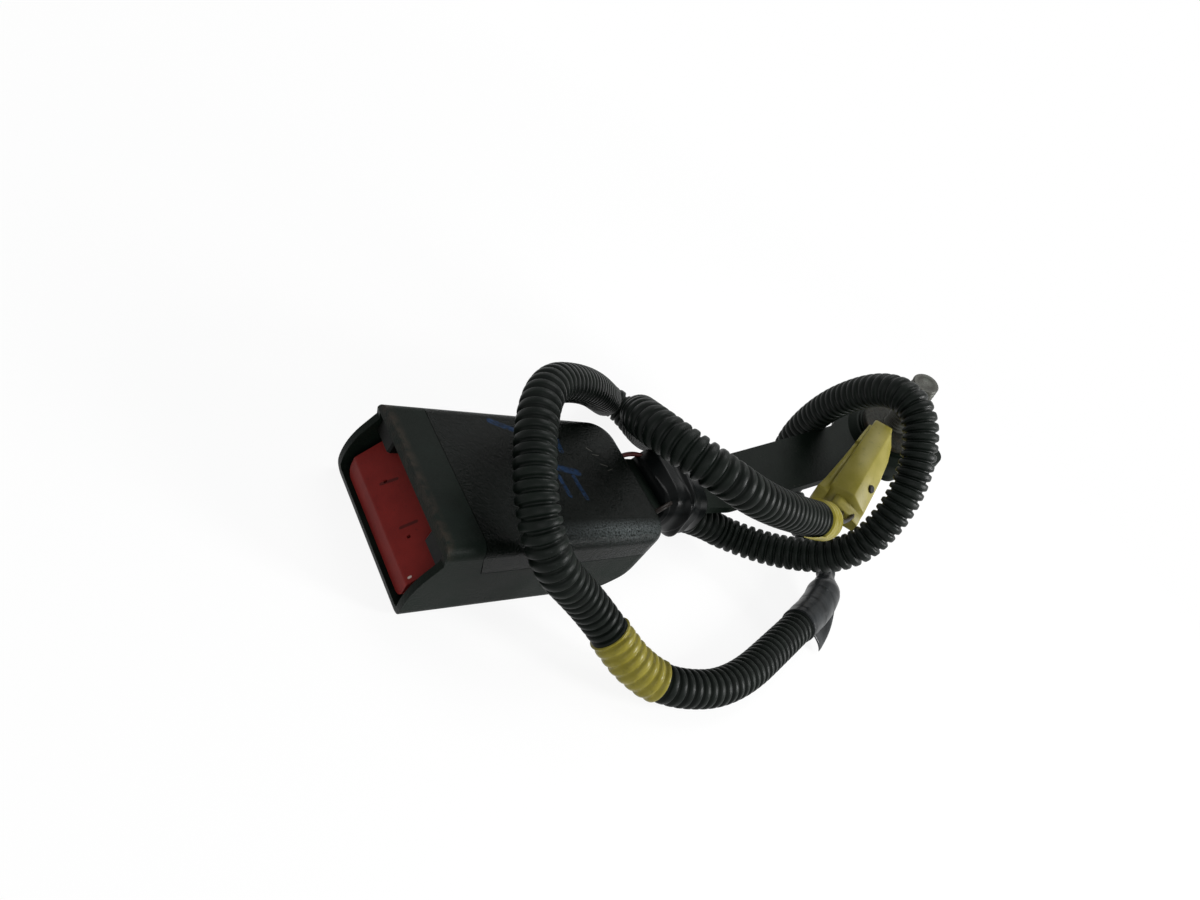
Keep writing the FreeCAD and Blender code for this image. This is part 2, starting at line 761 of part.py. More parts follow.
def board():
    """A small circuit board on two posts with the sensor that reads the magnet."""
    half = board_width / 2
    sheet = box(board_front, board_front + board_length, -half, half,
                board_top - board_thickness, board_top)
    chip = box(board_front + 0.6, board_front + 4, half - 4.5, half, board_top, board_top + 1.8)
    return sheet.fuse(chip).removeSplitter()


def on_connector(shape):
    """Move a shape from the connector's own axes to its place on the stalk."""
    placed = shape.copy()
    placed.rotate(Vector(connector_outline[0][0], 0, 0), Vector(0, 1, 0), -connector_tilt)
    placed.rotate(Vector(0, 0, 0), Vector(0, 0, 1), connector_turn)
    placed.translate(Vector(connector_at, connector_y, connector_lift))
    return on_stalk(placed)


def connector():
    """The yellow plug: wedge-shaped body, open at the front, with its wires at the back."""
    rear = connector_outline[0][0]
    front = connector_outline[3][0]
    body = plan_prism(connector_outline, 0, connector_height)
    rim = edges_where(body, lambda c, b: c.z > connector_height - 0.01 or b.ZLength > 5)
    body = body.makeFillet(0.7, rim)
    mouth = plan_prism([(front - 9, -2.6), (front + 3, -1.2), (front + 3, 3.2),
                        (front - 9, 3.2)], 2, connector_height - 2)
    step = box(rear - 1, rear + 7, -7, 7, connector_height - 1.6, connector_height + 1)
    slot = box(rear + 11, front - 12, 2.4, 3.4, connector_height - 1.2, connector_height + 1)
    body = body.cut(mouth).cut(step).cut(slot)
    for y in (-wire_pitch / 2, wire_pitch / 2):
        body = body.cut(rod((rear - 1, y, connector_height / 2), (1, 0, 0),
                            lead_radius + 0.5, 6))
    socket = rod((*seal_at, connector_height - 1.2), (0, 0, 1), seal_radius + tape_play, 3)
    return on_connector(body.cut(socket))


def connector_lock():
    """The side plate with its latch tongue, beside the body."""
    plate_form = plan_prism(lock_outline, 0, lock_height)
    bevel = edges_where(plate_form, lambda c, b: c.z > lock_height - 0.01)
    plate_form = plate_form.makeFillet(0.5, bevel)
    slit = box(-11, 6, 7.6, 8.4, 2, lock_height + 1)
    return on_connector(plate_form.cut(slit))


def connector_seal():
    return on_connector(rod((*seal_at, connector_height - 1.2), (0, 0, 1), seal_radius, 1.5))


def terminals():
    """Two contacts in the connector's mouth."""
    front = connector_outline[3][0]
    group = [box(front - 9, front - 2, y - 0.4, y + 0.4, connector_height / 2 - 0.9,
                 connector_height / 2 + 0.9) for y in (-0.6, 1.8)]
    return on_connector(Part.makeCompound(group))


def connector_leads(tube_end, before_end):
    """Two short wires from the tube's open end into the connector's back."""
    group = []
    rear = connector_outline[0][0]
    ahead = (Vector(*tube_end) - Vector(*before_end)).normalize()
    for side in (-1, 1):
        y = side * wire_pitch / 2
        socket = on_connector(Part.Vertex(rear + 5, y, connector_height / 2)).Point
        before = on_connector(Part.Vertex(rear - 6, y, connector_height / 2)).Point
        start = Vector(*tube_end) + Vector(0, 0, 1).cross(ahead).normalize() * y
        after = start + ahead * 9
        edges, radii = cord_path([tuple(start), tuple(after), tuple(before), tuple(socket)])
        group.append(tube(edges, lead_radius))
    return Part.makeCompound(group)


def harness():
    """The two corrugated tubes as plain tubes, the taped neck between them and the tapes."""
    path, radii = cord_path(harness_route)
    total = sum(edge.Length for edge in path)
    print("harness length %.1f" % total)
    print("arc radii", " ".join("%.0f" % radius for radius in radii))
    pieces["conduit_loop"] = tube(stretch(path, 0, loop_end), tube_radius)
    neck = tube(stretch(path, loop_end, main_start), neck_radius)
    cuff = sleeve(stretch(path, main_start, junction_end), tube_radius + tape_thickness,
                  tube_radius + tape_play)
    cap = tube(stretch(path, main_start - 2.5, main_start),
               tube_radius + tape_thickness)
    pieces["junction_tape"] = joined([neck, cap, cuff])
    pieces["conduit_main"] = tube(stretch(path, main_start, total), tube_radius)
    pieces["yellow_band"] = sleeve(stretch(path, band_start, band_end),
                                   tube_radius + tape_thickness, tube_radius + tape_play)
    pieces["yellow_end_ring"] = sleeve(stretch(path, total - ring_length, total),
                                       tube_radius + tape_thickness, tube_radius + tape_play)
    return path


os.makedirs("parts", exist_ok=True)
lower_shell, upper_shell = housing_shells()
pieces["lower_cover"] = lower_cover(lower_shell)
pieces["upper_cover"] = upper_cover(upper_shell)
pieces["tongue_guide"] = tongue_guide()
pieces["press_button"] = button()
pieces["release_bar"] = release_bar()
pieces["button_springs"] = Part.makeCompound(
    [coil(button_back, return_seat_x, side * return_spring_y, return_spring_z,
          return_spring_radius, return_spring_wire, 6) for side in (-1, 1)])
pieces["frame_channel"] = channel()
pieces["latch_arm"] = latch()
pieces["latch_pin"] = latch_pin()
pieces["ejector_slider"] = ejector()
pieces["ejector_spring"] = coil(ejector_prong_rear + ejector_bar, spring_seat_x, 0, spring_z,
                                spring_coil_radius, spring_wire, 8)
pieces["sensor_magnet"] = magnet()
pieces["sensor_board"] = board()
pieces["strap_rivets"] = rivets()
pieces["anchor_strap"] = stalk()
pieces["anchor_bolt"] = bolt()
pieces["bolt_bush"] = bush()
pieces["retaining_washer"] = washer()
harness_path = harness()
pieces["strap_tape"] = strap_tape(harness_path)
pieces["lead_red"] = lead_tube(1, lead_radius)
pieces["lead_black"] = lead_tube(-1, lead_radius)
pieces["connector_housing"] = connector()
pieces["connector_lock"] = connector_lock()
pieces["connector_seal"] = connector_seal()
pieces["connector_terminals"] = terminals()
pieces["connector_leads"] = connector_leads(harness_route[-1], harness_route[-2])

for name, shape in pieces.items():
    shape.translate(Vector(-middle_x, 0, 0))
    shape.exportStep("parts/%s.step" % name)
    print("%-20s solids %d valid %s volume %.1f" % (name, len(shape.Solids), shape.isValid(),
                                                    shape.Volume))
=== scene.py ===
import bisect
import math

import bpy
from mathutils import Matrix, Vector, noise


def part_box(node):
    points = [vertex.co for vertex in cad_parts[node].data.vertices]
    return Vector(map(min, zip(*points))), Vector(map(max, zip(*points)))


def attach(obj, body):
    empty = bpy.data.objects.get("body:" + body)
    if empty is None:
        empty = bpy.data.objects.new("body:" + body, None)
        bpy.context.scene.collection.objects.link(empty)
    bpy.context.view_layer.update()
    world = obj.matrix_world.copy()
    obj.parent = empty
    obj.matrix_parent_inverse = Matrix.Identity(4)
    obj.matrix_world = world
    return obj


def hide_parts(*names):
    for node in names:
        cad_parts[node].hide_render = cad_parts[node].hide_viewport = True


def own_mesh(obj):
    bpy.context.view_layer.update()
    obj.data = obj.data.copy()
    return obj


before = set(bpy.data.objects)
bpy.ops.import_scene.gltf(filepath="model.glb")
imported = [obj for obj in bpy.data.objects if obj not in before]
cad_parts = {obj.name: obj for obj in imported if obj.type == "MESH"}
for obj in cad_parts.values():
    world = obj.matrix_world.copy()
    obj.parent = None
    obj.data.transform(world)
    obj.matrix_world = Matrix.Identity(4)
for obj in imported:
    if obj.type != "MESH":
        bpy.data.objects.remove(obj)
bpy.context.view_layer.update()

# The camera looks down on the buckle from its near front corner, with the phone rolled to
# one side. Its place, turn and focal length were fitted to the housing, the stalk and the bolt.
mm = 0.001
cheek_bulge = 3.1 * mm
lip_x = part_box("lower_cover")[0].x + cheek_bulge
image_width_px = 1200
focal_length_px = 950


def on_buckle(x, y, z):
    """A place given in millimetres from the lip's front edge, the middle and the floor."""
    return Vector((lip_x + x * mm, y * mm, z * mm))


eye_place = on_buckle(-134.94, -137.14, 190.40)
sight_right = Vector((0.7256, -0.4353, 0.5330))
sight_down = Vector((0.0268, -0.7561, -0.6539))
sight_ahead = sight_right.cross(sight_down)
lens = bpy.data.cameras.new("photograph_view")
lens.sensor_width = 36
lens.lens = lens.sensor_width * focal_length_px / image_width_px
lens.clip_start = 0.01
camera = bpy.data.objects.new("photograph_view", lens)
turn = Matrix((sight_right, -sight_down, -sight_ahead)).transposed()
camera.matrix_world = Matrix.Translation(eye_place) @ turn.to_4x4()
bpy.context.collection.objects.link(camera)
bpy.context.scene.camera = camera
bpy.context.scene.view_settings.view_transform = "Standard"


# A pale table top and plain soft light: a broad lamp above, a smaller and stronger one low on
# the right that lights the near side and the rounded edges, and a weak fill from the front.
def srgb(code):
    """An sRGB hex colour as the linear red, green, blue and alpha that the shaders take."""
    shares = [int(code[i:i + 2], 16) / 255 for i in (0, 2, 4)]
    linear = [s / 12.92 if s <= 0.04045 else ((s + 0.055) / 1.055) ** 2.4 for s in shares]
    return (*linear, 1.0)


def add(tree, kind, inputs=None, **settings):
    """Adds a node with its settings; an input is set to a value or linked to a node or socket."""
    node = tree.nodes.new(kind)
    for name, value in settings.items():
        setattr(node, name, value)
    for name, value in (inputs or {}).items():
        if isinstance(name, int):
            socket = node.inputs[name]
        else:
            socket = next(one for one in node.inputs if one.name == name and one.enabled)
        if isinstance(value, bpy.types.Node):
            value = next(one for one in value.outputs if one.enabled)
        if isinstance(value, bpy.types.NodeSocket):
            tree.links.new(value, socket)
        else:
            socket.default_value = value
    return node


def new_finish(name):
    """An empty material and its node tree."""
    made = bpy.data.materials.new(name)
    made.use_nodes = True
    made.node_tree.nodes.clear()
    return made, made.node_tree


def seen_directly(tree):
    """1 for the camera's rays, for reflections and through clear pieces, else 0."""
    rays = add(tree, "ShaderNodeLightPath")
    seen = add(tree, "ShaderNodeMath", {0: rays.outputs["Is Camera Ray"],
                                        1: rays.outputs["Is Glossy Ray"]}, operation="MAXIMUM")
    return add(tree, "ShaderNodeMath", {0: seen, 1: rays.outputs["Is Transmission Ray"]},
               operation="MAXIMUM")


# Near the buckle the table is a little less than white, so that it keeps the shadow.
table_half = 30.0
shadow_core = 0.15
shadow_reach = 0.45
white_in_shadow = 0.9
table_mesh = bpy.data.meshes.new("table_top")
table_mesh.from_pydata([(-table_half, -table_half, 0), (table_half, -table_half, 0),
                        (table_half, table_half, 0), (-table_half, table_half, 0)],
                       [], [(0, 1, 2, 3)])
table_top = bpy.data.objects.new("table_top", table_mesh)
bpy.context.collection.objects.link(table_top)
white_laminate, tree = new_finish("white_laminate_satin")
away = add(tree, "ShaderNodeVectorMath",
           {0: add(tree, "ShaderNodeTexCoord").outputs["Object"]}, operation="LENGTH")
share = add(tree, "ShaderNodeMapRange", {"Value": away.outputs["Value"],
                                         "From Min": shadow_core, "From Max": shadow_reach,
                                         "To Min": white_in_shadow, "To Max": 1.0})
share = add(tree, "ShaderNodeMath", {0: seen_directly(tree), 1: share}, operation="MULTIPLY")
matt = add(tree, "ShaderNodeBsdfDiffuse", {"Color": srgb("f6f6f4")})
white = add(tree, "ShaderNodeEmission", {"Color": srgb("ffffff"), "Strength": 1.0})
add(tree, "ShaderNodeOutputMaterial",
    {"Surface": add(tree, "ShaderNodeMixShader", {0: share, 1: matt, 2: white})})
table_mesh.materials.append(white_laminate)

room = bpy.data.worlds.new("white_room")
room.use_nodes = True
tree = room.node_tree
tree.nodes.clear()
dim = add(tree, "ShaderNodeBackground", {"Color": srgb("e4e8ee"), "Strength": 0.3})
bright = add(tree, "ShaderNodeBackground", {"Color": srgb("ffffff"), "Strength": 1.0})
add(tree, "ShaderNodeOutputWorld",
    {"Surface": add(tree, "ShaderNodeMixShader", {0: seen_directly(tree), 1: dim, 2: bright})})
bpy.context.scene.world = room

# Each lamp's name, place and target in millimetres, width and height in metres, and watts.
lamps = [
    ("ceiling_light", (300, 200, 620), (100, 0, 20), (0.40, 0.30), 2.2),
    ("window_right", (480, -377, 280), (60, -24, 25), (0.15, 0.22), 3.6),
    ("front_fill", (-260, -420, 330), (60, 0, 20), (0.45, 0.45), 1.1),
]
for name, place, target, size, watts in lamps:
    light = bpy.data.lights.new(name, "AREA")
    light.shape = "RECTANGLE"
    light.size, light.size_y = size
    light.energy = watts
    lamp = bpy.data.objects.new(name, light)
    lamp.location = on_buckle(*place)
    direction = on_buckle(*target) - lamp.location
    lamp.rotation_euler = direction.to_track_quat("-Z", "Y").to_euler()
    bpy.context.collection.objects.link(lamp)


# The lower cover: one moulding of black ABS with a spark-eroded grain. The grain breaks up the
# light, and the lip over the slot is rubbed brownish where the tongue strikes it.
def patches(tree, size, low, high, detail=3.0, seed=0.0):
    """Soft patches of a given size in metres, 0 outside them and 1 inside."""
    place = add(tree, "ShaderNodeTexCoord").outputs["Object"]
    moved = add(tree, "ShaderNodeVectorMath", {0: place, 1: (seed, seed, seed)}, operation="ADD")
    cloud = add(tree, "ShaderNodeTexNoise", {"Vector": moved, "Scale": 1 / size,
                                             "Detail": detail})
    return add(tree, "ShaderNodeMapRange", {"Value": cloud.outputs[0], "From Min": low,
                                            "From Max": high})


def near_plane(tree, axis, place, reach):
    """1 at a place along an axis, in metres, falling to 0 at a distance of reach from it."""
    split = add(tree, "ShaderNodeSeparateXYZ",
                {0: add(tree, "ShaderNodeTexCoord").outputs["Object"]})
    away = add(tree, "ShaderNodeMath", {0: split.outputs[axis], 1: place}, operation="SUBTRACT")
    far = add(tree, "ShaderNodeMath", {0: away}, operation="ABSOLUTE")
    return add(tree, "ShaderNodeMapRange", {"Value": far, "From Min": 0.0, "From Max": reach,
                                            "To Min": 1.0, "To Max": 0.0})


def strokes(tree, lines, flatten):
    """1 on straight strokes given as start, end and width in millimetres, seen along an axis."""
    place = add(tree, "ShaderNodeTexCoord").outputs["Object"]
    flat = add(tree, "ShaderNodeVectorMath", {0: place, 1: flatten}, operation="MULTIPLY")
    marked = 0.0
    for start, end, width in lines:
        a = Vector([p * f for p, f in zip(on_buckle(*start), flatten)])
        run = Vector([p * f for p, f in zip(on_buckle(*end), flatten)]) - a
        from_a = add(tree, "ShaderNodeVectorMath", {0: flat, 1: a}, operation="SUBTRACT")
        along = add(tree, "ShaderNodeVectorMath", {0: from_a, 1: run / run.length_squared},
                    operation="DOT_PRODUCT").outputs["Value"]
        held = add(tree, "ShaderNodeClamp", {"Value": along})
        nearest = add(tree, "ShaderNodeVectorMath", {0: run, "Scale": held}, operation="SCALE")
        off = add(tree, "ShaderNodeVectorMath", {0: from_a, 1: nearest},
                  operation="DISTANCE").outputs["Value"]
        stroke = add(tree, "ShaderNodeMapRange", {"Value": off, "From Min": 0.35 * width * mm,
                                                  "From Max": 0.6 * width * mm,
                                                  "To Min": 1.0, "To Max": 0.0})
        marked = add(tree, "ShaderNodeMath", {0: marked, 1: stroke}, operation="MAXIMUM")
    return marked


def dress(node, finish):
    """Puts a finish on a CAD node and smooths its shading."""
    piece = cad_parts[node]
    piece.data.materials.clear()
    piece.data.materials.append(finish)
    for polygon in piece.data.polygons:
        polygon.use_smooth = True


housing_height = 28.5 * mm
rubbed_depth = 2.6 * mm
rubbed_height = 4.5 * mm
abs_grained, tree = new_finish("abs_black_moulded_grained")
dust = patches(tree, 9 * mm, 0.45, 0.75, seed=0.3)
colour = add(tree, "ShaderNodeMix", {"Factor": dust, "A": srgb("0f1511"), "B": srgb("161d19")},
             data_type="RGBA")
front_edge = near_plane(tree, "X", lip_x + 0.5 * mm, rubbed_depth)
high_up = near_plane(tree, "Z", housing_height, rubbed_height)
rubbed = add(tree, "ShaderNodeMath", {0: front_edge, 1: high_up}, operation="MULTIPLY")
rubbed = add(tree, "ShaderNodeMath", {0: rubbed, 1: patches(tree, 2.6 * mm, 0.35, 0.62,
                                                            seed=2.2)}, operation="MULTIPLY")
colour = add(tree, "ShaderNodeMix", {"Factor": rubbed, "A": colour, "B": srgb("2d2822")},
             data_type="RGBA")
# Fine grain of 0.3 mm, drawn at 0.5 mm so that it shows in the picture.
grain = add(tree, "ShaderNodeBump", {"Height": patches(tree, 0.5 * mm, 0.3, 0.7, detail=2.0),
                                     "Distance": 0.05 * mm})
rough = add(tree, "ShaderNodeMapRange", {"Value": dust, "To Min": 0.38, "To Max": 0.5})
add(tree, "ShaderNodeOutputMaterial", {"Surface": add(tree, "ShaderNodeBsdfPrincipled", {
    "Base Color": colour, "Roughness": rough, "Specular IOR Level": 0.038, "Normal": grain})})
dress("lower_cover", abs_grained)

# The upper cover: the same ABS from its own mould, darker and with a clearer grain. A painted
# highlight lies along its near edge as a speckled grey band, a blue felt pen has marked it, and
# it has scratches.
seen_from_above = (1, 1, 0)
pen_strokes = [((33.7, 20.2, 0), (41.1, 17.0, 0), 2.2), ((56.3, 13.8, 0), (56.1, 9.7, 0), 1.8),
               ((50.9, 3.2, 0), (58.3, 1.3, 0), 2.6), ((49.8, -0.3, 0), (49.8, -7.9, 0), 1.7),
               ((55.8, -0.3, 0), (56.1, -8.7, 0), 1.7)]
scratch_strokes = [((67.0, 11.0, 0), (68.6, 9.6, 0), 0.35), ((68.2, 8.4, 0), (70.4, 7.9, 0), 0.3),
                   ((69.4, 4.6, 0), (71.6, 3.6, 0), 0.35), ((71.0, 1.8, 0), (73.0, 2.4, 0), 0.3)]
painted_highlight_at = on_buckle(66, -21.0, 0)
painted_highlight_width = 4.0 * mm
painted_highlight_length = 34 * mm
abs_glinting, tree = new_finish("abs_black_moulded_glinting_grain")
dust = patches(tree, 9 * mm, 0.45, 0.75, seed=1.3)
colour = add(tree, "ShaderNodeMix", {"Factor": dust, "A": srgb("050906"), "B": srgb("090e0b")},
             data_type="RGBA")
# Painted highlight: grey speckles in a band along the near rounded edge, where the lamp's
# highlight falls.
edge = add(tree, "ShaderNodeMath", {0: near_plane(tree, "Y", painted_highlight_at.y, painted_highlight_width),
                                    1: near_plane(tree, "X", painted_highlight_at.x, painted_highlight_length)},
           operation="MULTIPLY")
painted_highlight_speckle = add(tree, "ShaderNodeMath", {0: edge, 1: patches(tree, 0.55 * mm, 0.3, 0.7, detail=3.0,
                                                        seed=6.6)}, operation="MULTIPLY")
colour = add(tree, "ShaderNodeMix", {"Factor": painted_highlight_speckle, "A": colour, "B": srgb("5d6363")},
             data_type="RGBA")
ink = add(tree, "ShaderNodeMath", {0: strokes(tree, pen_strokes, seen_from_above),
                                   1: patches(tree, 1.5 * mm, 0.25, 0.6, seed=4.0)},
          operation="MULTIPLY")
colour = add(tree, "ShaderNodeMix", {"Factor": ink, "A": colour, "B": srgb("122d4c")},
             data_type="RGBA")
scratched = strokes(tree, scratch_strokes, seen_from_above)
colour = add(tree, "ShaderNodeMix", {"Factor": scratched, "A": colour, "B": srgb("3e3e39")},
             data_type="RGBA")
# Grain of 0.4 mm, drawn at 0.6 mm so that it shows in the picture.
grain = add(tree, "ShaderNodeBump", {"Height": patches(tree, 0.6 * mm, 0.3, 0.7, detail=2.0),
                                     "Distance": 0.13 * mm})
add(tree, "ShaderNodeOutputMaterial", {"Surface": add(tree, "ShaderNodeBsdfPrincipled", {
    "Base Color": colour, "Roughness": 0.27, "Specular IOR Level": 0.042, "Normal": grain})})
dress("upper_cover", abs_glinting)

# The slot's insert: unfilled black acetal, smooth and a little shiny, pressed in under the lip.
acetal_black, tree = new_finish("acetal_black_smooth")
colour = add(tree, "ShaderNodeMix", {"Factor": patches(tree, 3 * mm, 0.4, 0.7),
                                     "A": srgb("090a09"), "B": srgb("111210")}, data_type="RGBA")
add(tree, "ShaderNodeOutputMaterial", {"Surface": add(tree, "ShaderNodeBsdfPrincipled", {
    "Base Color": colour, "Roughness": 0.35, "Specular IOR Level": 0.06})})
dress("tongue_guide", acetal_black)

# The button: red ABS with a fine grain. Thumbs have dulled it. Painted shade darkens its two
# grooves and its upper part towards the slot, under the lip, and it has dark nicks and one white
# speck.
seen_from_front = (0, 1, 1)
button_grooves = [((0, 9.4, 12.3), (0, 8.3, 15.9), 1.0), ((0, -5.9, 12.6), (0, -6.6, 16.1), 1.0)]
button_speck = [((0, -20.2, 10.1), (0, -20.2, 10.4), 0.7)]
abs_red, tree = new_finish("abs_red_moulded_worn")
colour = add(tree, "ShaderNodeMix", {"Factor": patches(tree, 7 * mm, 0.35, 0.75, seed=0.7),
                                     "A": srgb("6e211e"), "B": srgb("7b2622")},
             data_type="RGBA")
# Painted shade: the upper part, towards the slot under the lip, is darker.
painted_shade_towards_lip = add(tree, "ShaderNodeMath", {0: near_plane(tree, "Z", 20 * mm, 9 * mm), 1: 0.65},
            operation="MULTIPLY")
colour = add(tree, "ShaderNodeMix", {"Factor": painted_shade_towards_lip, "A": colour, "B": srgb("4e120e")},
             data_type="RGBA")
nicks = patches(tree, 1.1 * mm, 0.68, 0.76, detail=5.0, seed=3.1)
# Painted shade in the two grooves, together with real dark nicks.
groove_shade_and_nicks = add(tree, "ShaderNodeMath", {0: strokes(tree, button_grooves, seen_from_front), 1: nicks},
            operation="MAXIMUM")
groove_shade_and_nicks = add(tree, "ShaderNodeMath", {0: groove_shade_and_nicks, 1: 0.7}, operation="MULTIPLY")
colour = add(tree, "ShaderNodeMix", {"Factor": groove_shade_and_nicks, "A": colour, "B": srgb("260e0d")},
             data_type="RGBA")
colour = add(tree, "ShaderNodeMix", {"Factor": strokes(tree, button_speck, seen_from_front),
                                     "A": colour, "B": srgb("c0b4aa")}, data_type="RGBA")
fine = add(tree, "ShaderNodeBump", {"Height": patches(tree, 0.4 * mm, 0.3, 0.7),
                                    "Distance": 0.02 * mm})
add(tree, "ShaderNodeOutputMaterial", {"Surface": add(tree, "ShaderNodeBsdfPrincipled", {
    "Base Color": colour, "Roughness": 0.46, "Specular IOR Level": 0.07, "Normal": fine})})
dress("press_button", abs_red)

# The steel inside the housing: blanked and bent sheet for the channel and the latch, and turned
# pins and rivets. It is plain and satin, with a thin film of grease that clouds it in patches.
sheet_steel, tree = new_finish("steel_sheet_pressed")
colour = add(tree, "ShaderNodeMix", {"Factor": patches(tree, 1.5 * mm, 0.3, 0.7, detail=4.0),
                                     "A": srgb("8d8f90"), "B": srgb("a7a8a6")}, data_type="RGBA")
add(tree, "ShaderNodeOutputMaterial", {"Surface": add(tree, "ShaderNodeBsdfPrincipled", {
    "Base Color": colour, "Roughness": 0.38, "Metallic": 1.0})})
for name in ("frame_channel", "latch_arm", "latch_pin", "strap_rivets", "release_bar"):
    dress(name, sheet_steel)

# The springs: coils of drawn steel wire, brighter than the sheet. Each stands on a seat at its
# rear end, with its front end at the button or the ejector, and each gets a mesh of its own.
button_travel = 6.0 * mm
ejector_travel = 12.0 * mm
spring_wire, tree = new_finish("spring_steel_drawn_wire")
colour = add(tree, "ShaderNodeMix", {"Factor": patches(tree, 2 * mm, 0.3, 0.7),
                                     "A": srgb("8f9296"), "B": srgb("b4b6b8")}, data_type="RGBA")
add(tree, "ShaderNodeOutputMaterial", {"Surface": add(tree, "ShaderNodeBsdfPrincipled", {
    "Base Color": colour, "Roughness": 0.25, "Metallic": 1.0})})
for name, joint, travel in (("button_springs", "button_press", button_travel),
                            ("ejector_spring", "ejector_slide", ejector_travel)):
    dress(name, spring_wire)
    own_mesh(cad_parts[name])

# The ejector is uncoloured acetal, milky and a little waxy. It carries a pressed ferrite magnet
# past the sensor board, which is green glass epoxy with its weave showing faintly.
acetal_natural, tree = new_finish("acetal_natural_moulded")
colour = add(tree, "ShaderNodeMix", {"Factor": patches(tree, 4 * mm, 0.3, 0.7),
                                     "A": srgb("d2cec2"), "B": srgb("dedad0")}, data_type="RGBA")
add(tree, "ShaderNodeOutputMaterial", {"Surface": add(tree, "ShaderNodeBsdfPrincipled", {
    "Base Color": colour, "Roughness": 0.4})})
dress("ejector_slider", acetal_natural)
ferrite, tree = new_finish("ferrite_pressed")
colour = add(tree, "ShaderNodeMix", {"Factor": patches(tree, 0.4 * mm, 0.3, 0.7),
                                     "A": srgb("222224"), "B": srgb("343436")}, data_type="RGBA")
add(tree, "ShaderNodeOutputMaterial", {"Surface": add(tree, "ShaderNodeBsdfPrincipled", {
    "Base Color": colour, "Roughness": 0.6})})
dress("sensor_magnet", ferrite)
epoxy_green, tree = new_finish("glass_epoxy_green_board")
colour = add(tree, "ShaderNodeMix", {"Factor": patches(tree, 0.8 * mm, 0.4, 0.6),
                                     "A": srgb("0f4a26"), "B": srgb("1b6034")}, data_type="RGBA")
add(tree, "ShaderNodeOutputMaterial", {"Surface": add(tree, "ShaderNodeBsdfPrincipled", {
    "Base Color": colour, "Roughness": 0.35})})
dress("sensor_board", epoxy_green)

# The stalk: 3 mm steel strip, blanked, bent and dipped in black paint, which is satin, slightly
# uneven and chipped at a few places. The bolt's bush is painted with it.
strip_paint, tree = new_finish("steel_strip_dip_painted_black")
colour = add(tree, "ShaderNodeMix", {"Factor": patches(tree, 14 * mm, 0.35, 0.7, seed=0.9),
                                     "A": srgb("0c120e"), "B": srgb("131a15")},
             data_type="RGBA")
chips = add(tree, "ShaderNodeMath", {0: patches(tree, 1.4 * mm, 0.69, 0.73, detail=6.0,
                                                seed=5.0), 1: 0.4}, operation="MULTIPLY")
colour = add(tree, "ShaderNodeMix", {"Factor": chips, "A": colour, "B": srgb("3a3935")},
             data_type="RGBA")
orange_peel = add(tree, "ShaderNodeBump", {"Height": patches(tree, 0.8 * mm, 0.3, 0.7),
                                           "Distance": 0.035 * mm})
add(tree, "ShaderNodeOutputMaterial", {"Surface": add(tree, "ShaderNodeBsdfPrincipled", {
    "Base Color": colour, "Roughness": 0.4, "Specular IOR Level": 0.04,
    "Normal": orange_peel})})
dress("anchor_strap", strip_paint)
dress("bolt_bush", strip_paint)

# The washer: sintered steel, so that it is grey, dull and full of small pits, with rust
# starting in them.
sintered, tree = new_finish("steel_sintered_rough")
pits = patches(tree, 0.9 * mm, 0.36, 0.64, detail=5.0)
colour = add(tree, "ShaderNodeMix", {"Factor": pits, "A": srgb("1e1e1a"), "B": srgb("31322d")},
             data_type="RGBA")
rust = add(tree, "ShaderNodeMath", {0: patches(tree, 3.5 * mm, 0.55, 0.7, seed=6.0), 1: 0.5},
           operation="MULTIPLY")
colour = add(tree, "ShaderNodeMix", {"Factor": rust, "A": colour, "B": srgb("33281a")},
             data_type="RGBA")
add(tree, "ShaderNodeOutputMaterial", {"Surface": add(tree, "ShaderNodeBsdfPrincipled", {
    "Base Color": colour, "Roughness": 0.6, "Specular IOR Level": 0.1,
    "Normal": add(tree, "ShaderNodeBump", {"Height": pits, "Distance": 0.05 * mm})})})
dress("retaining_washer", sintered)

# The anchor bolt: a flanged hexagon bolt with a rolled thread, zinc plated and gone dull. It
# turns freely in its bush, so that it rides on its own body.
zinc_dull, tree = new_finish("zinc_plated_steel_dull")
colour = add(tree, "ShaderNodeMix", {"Factor": patches(tree, 3 * mm, 0.35, 0.7, seed=1.7),
                                     "A": srgb("3e403a"), "B": srgb("2e2c27")},
             data_type="RGBA")
add(tree, "ShaderNodeOutputMaterial", {"Surface": add(tree, "ShaderNodeBsdfPrincipled", {
    "Base Color": colour, "Roughness": 0.45, "Metallic": 0.3, "Specular IOR Level": 0.2,
    "Normal": add(tree, "ShaderNodeBump", {"Height": patches(tree, 0.5 * mm, 0.3, 0.7),
                                           "Distance": 0.012 * mm})})})


def new_piece(name, points, faces, finish, slot):
    """A smooth-shaded mesh object from its points and faces, with a finish; the slot is not used.
    """
    mesh = bpy.data.meshes.new(name)
    mesh.from_pydata(points, [], faces)
    mesh.update()
    mesh.shade_smooth()
    mesh.materials.append(finish)
    made = bpy.data.objects.new(name, mesh)
    bpy.context.collection.objects.link(made)
    return made


def skin(rows, closed=False):
    """Faces between rings of points of equal length, with both ends closed if asked."""
    count = len(rows[0])
    points = [point for row in rows for point in row]
    faces = []
    for r in range(len(rows) - 1):
        for i in range(count):
            j = (i + 1) % count
            faces.append((r * count + i, r * count + j, (r + 1) * count + j,
                          (r + 1) * count + i))
    if closed:
        faces.append(tuple(reversed(range(count))))
        faces.append(tuple((len(rows) - 1) * count + i for i in range(count)))
    return points, faces


def turned(profile, sides):
    """Rings of points of a turned form from radius and height pairs."""
    return [[(radius * math.cos(2 * math.pi * i / sides),
              radius * math.sin(2 * math.pi * i / sides), height) for i in range(sides)]
            for radius, height in profile]


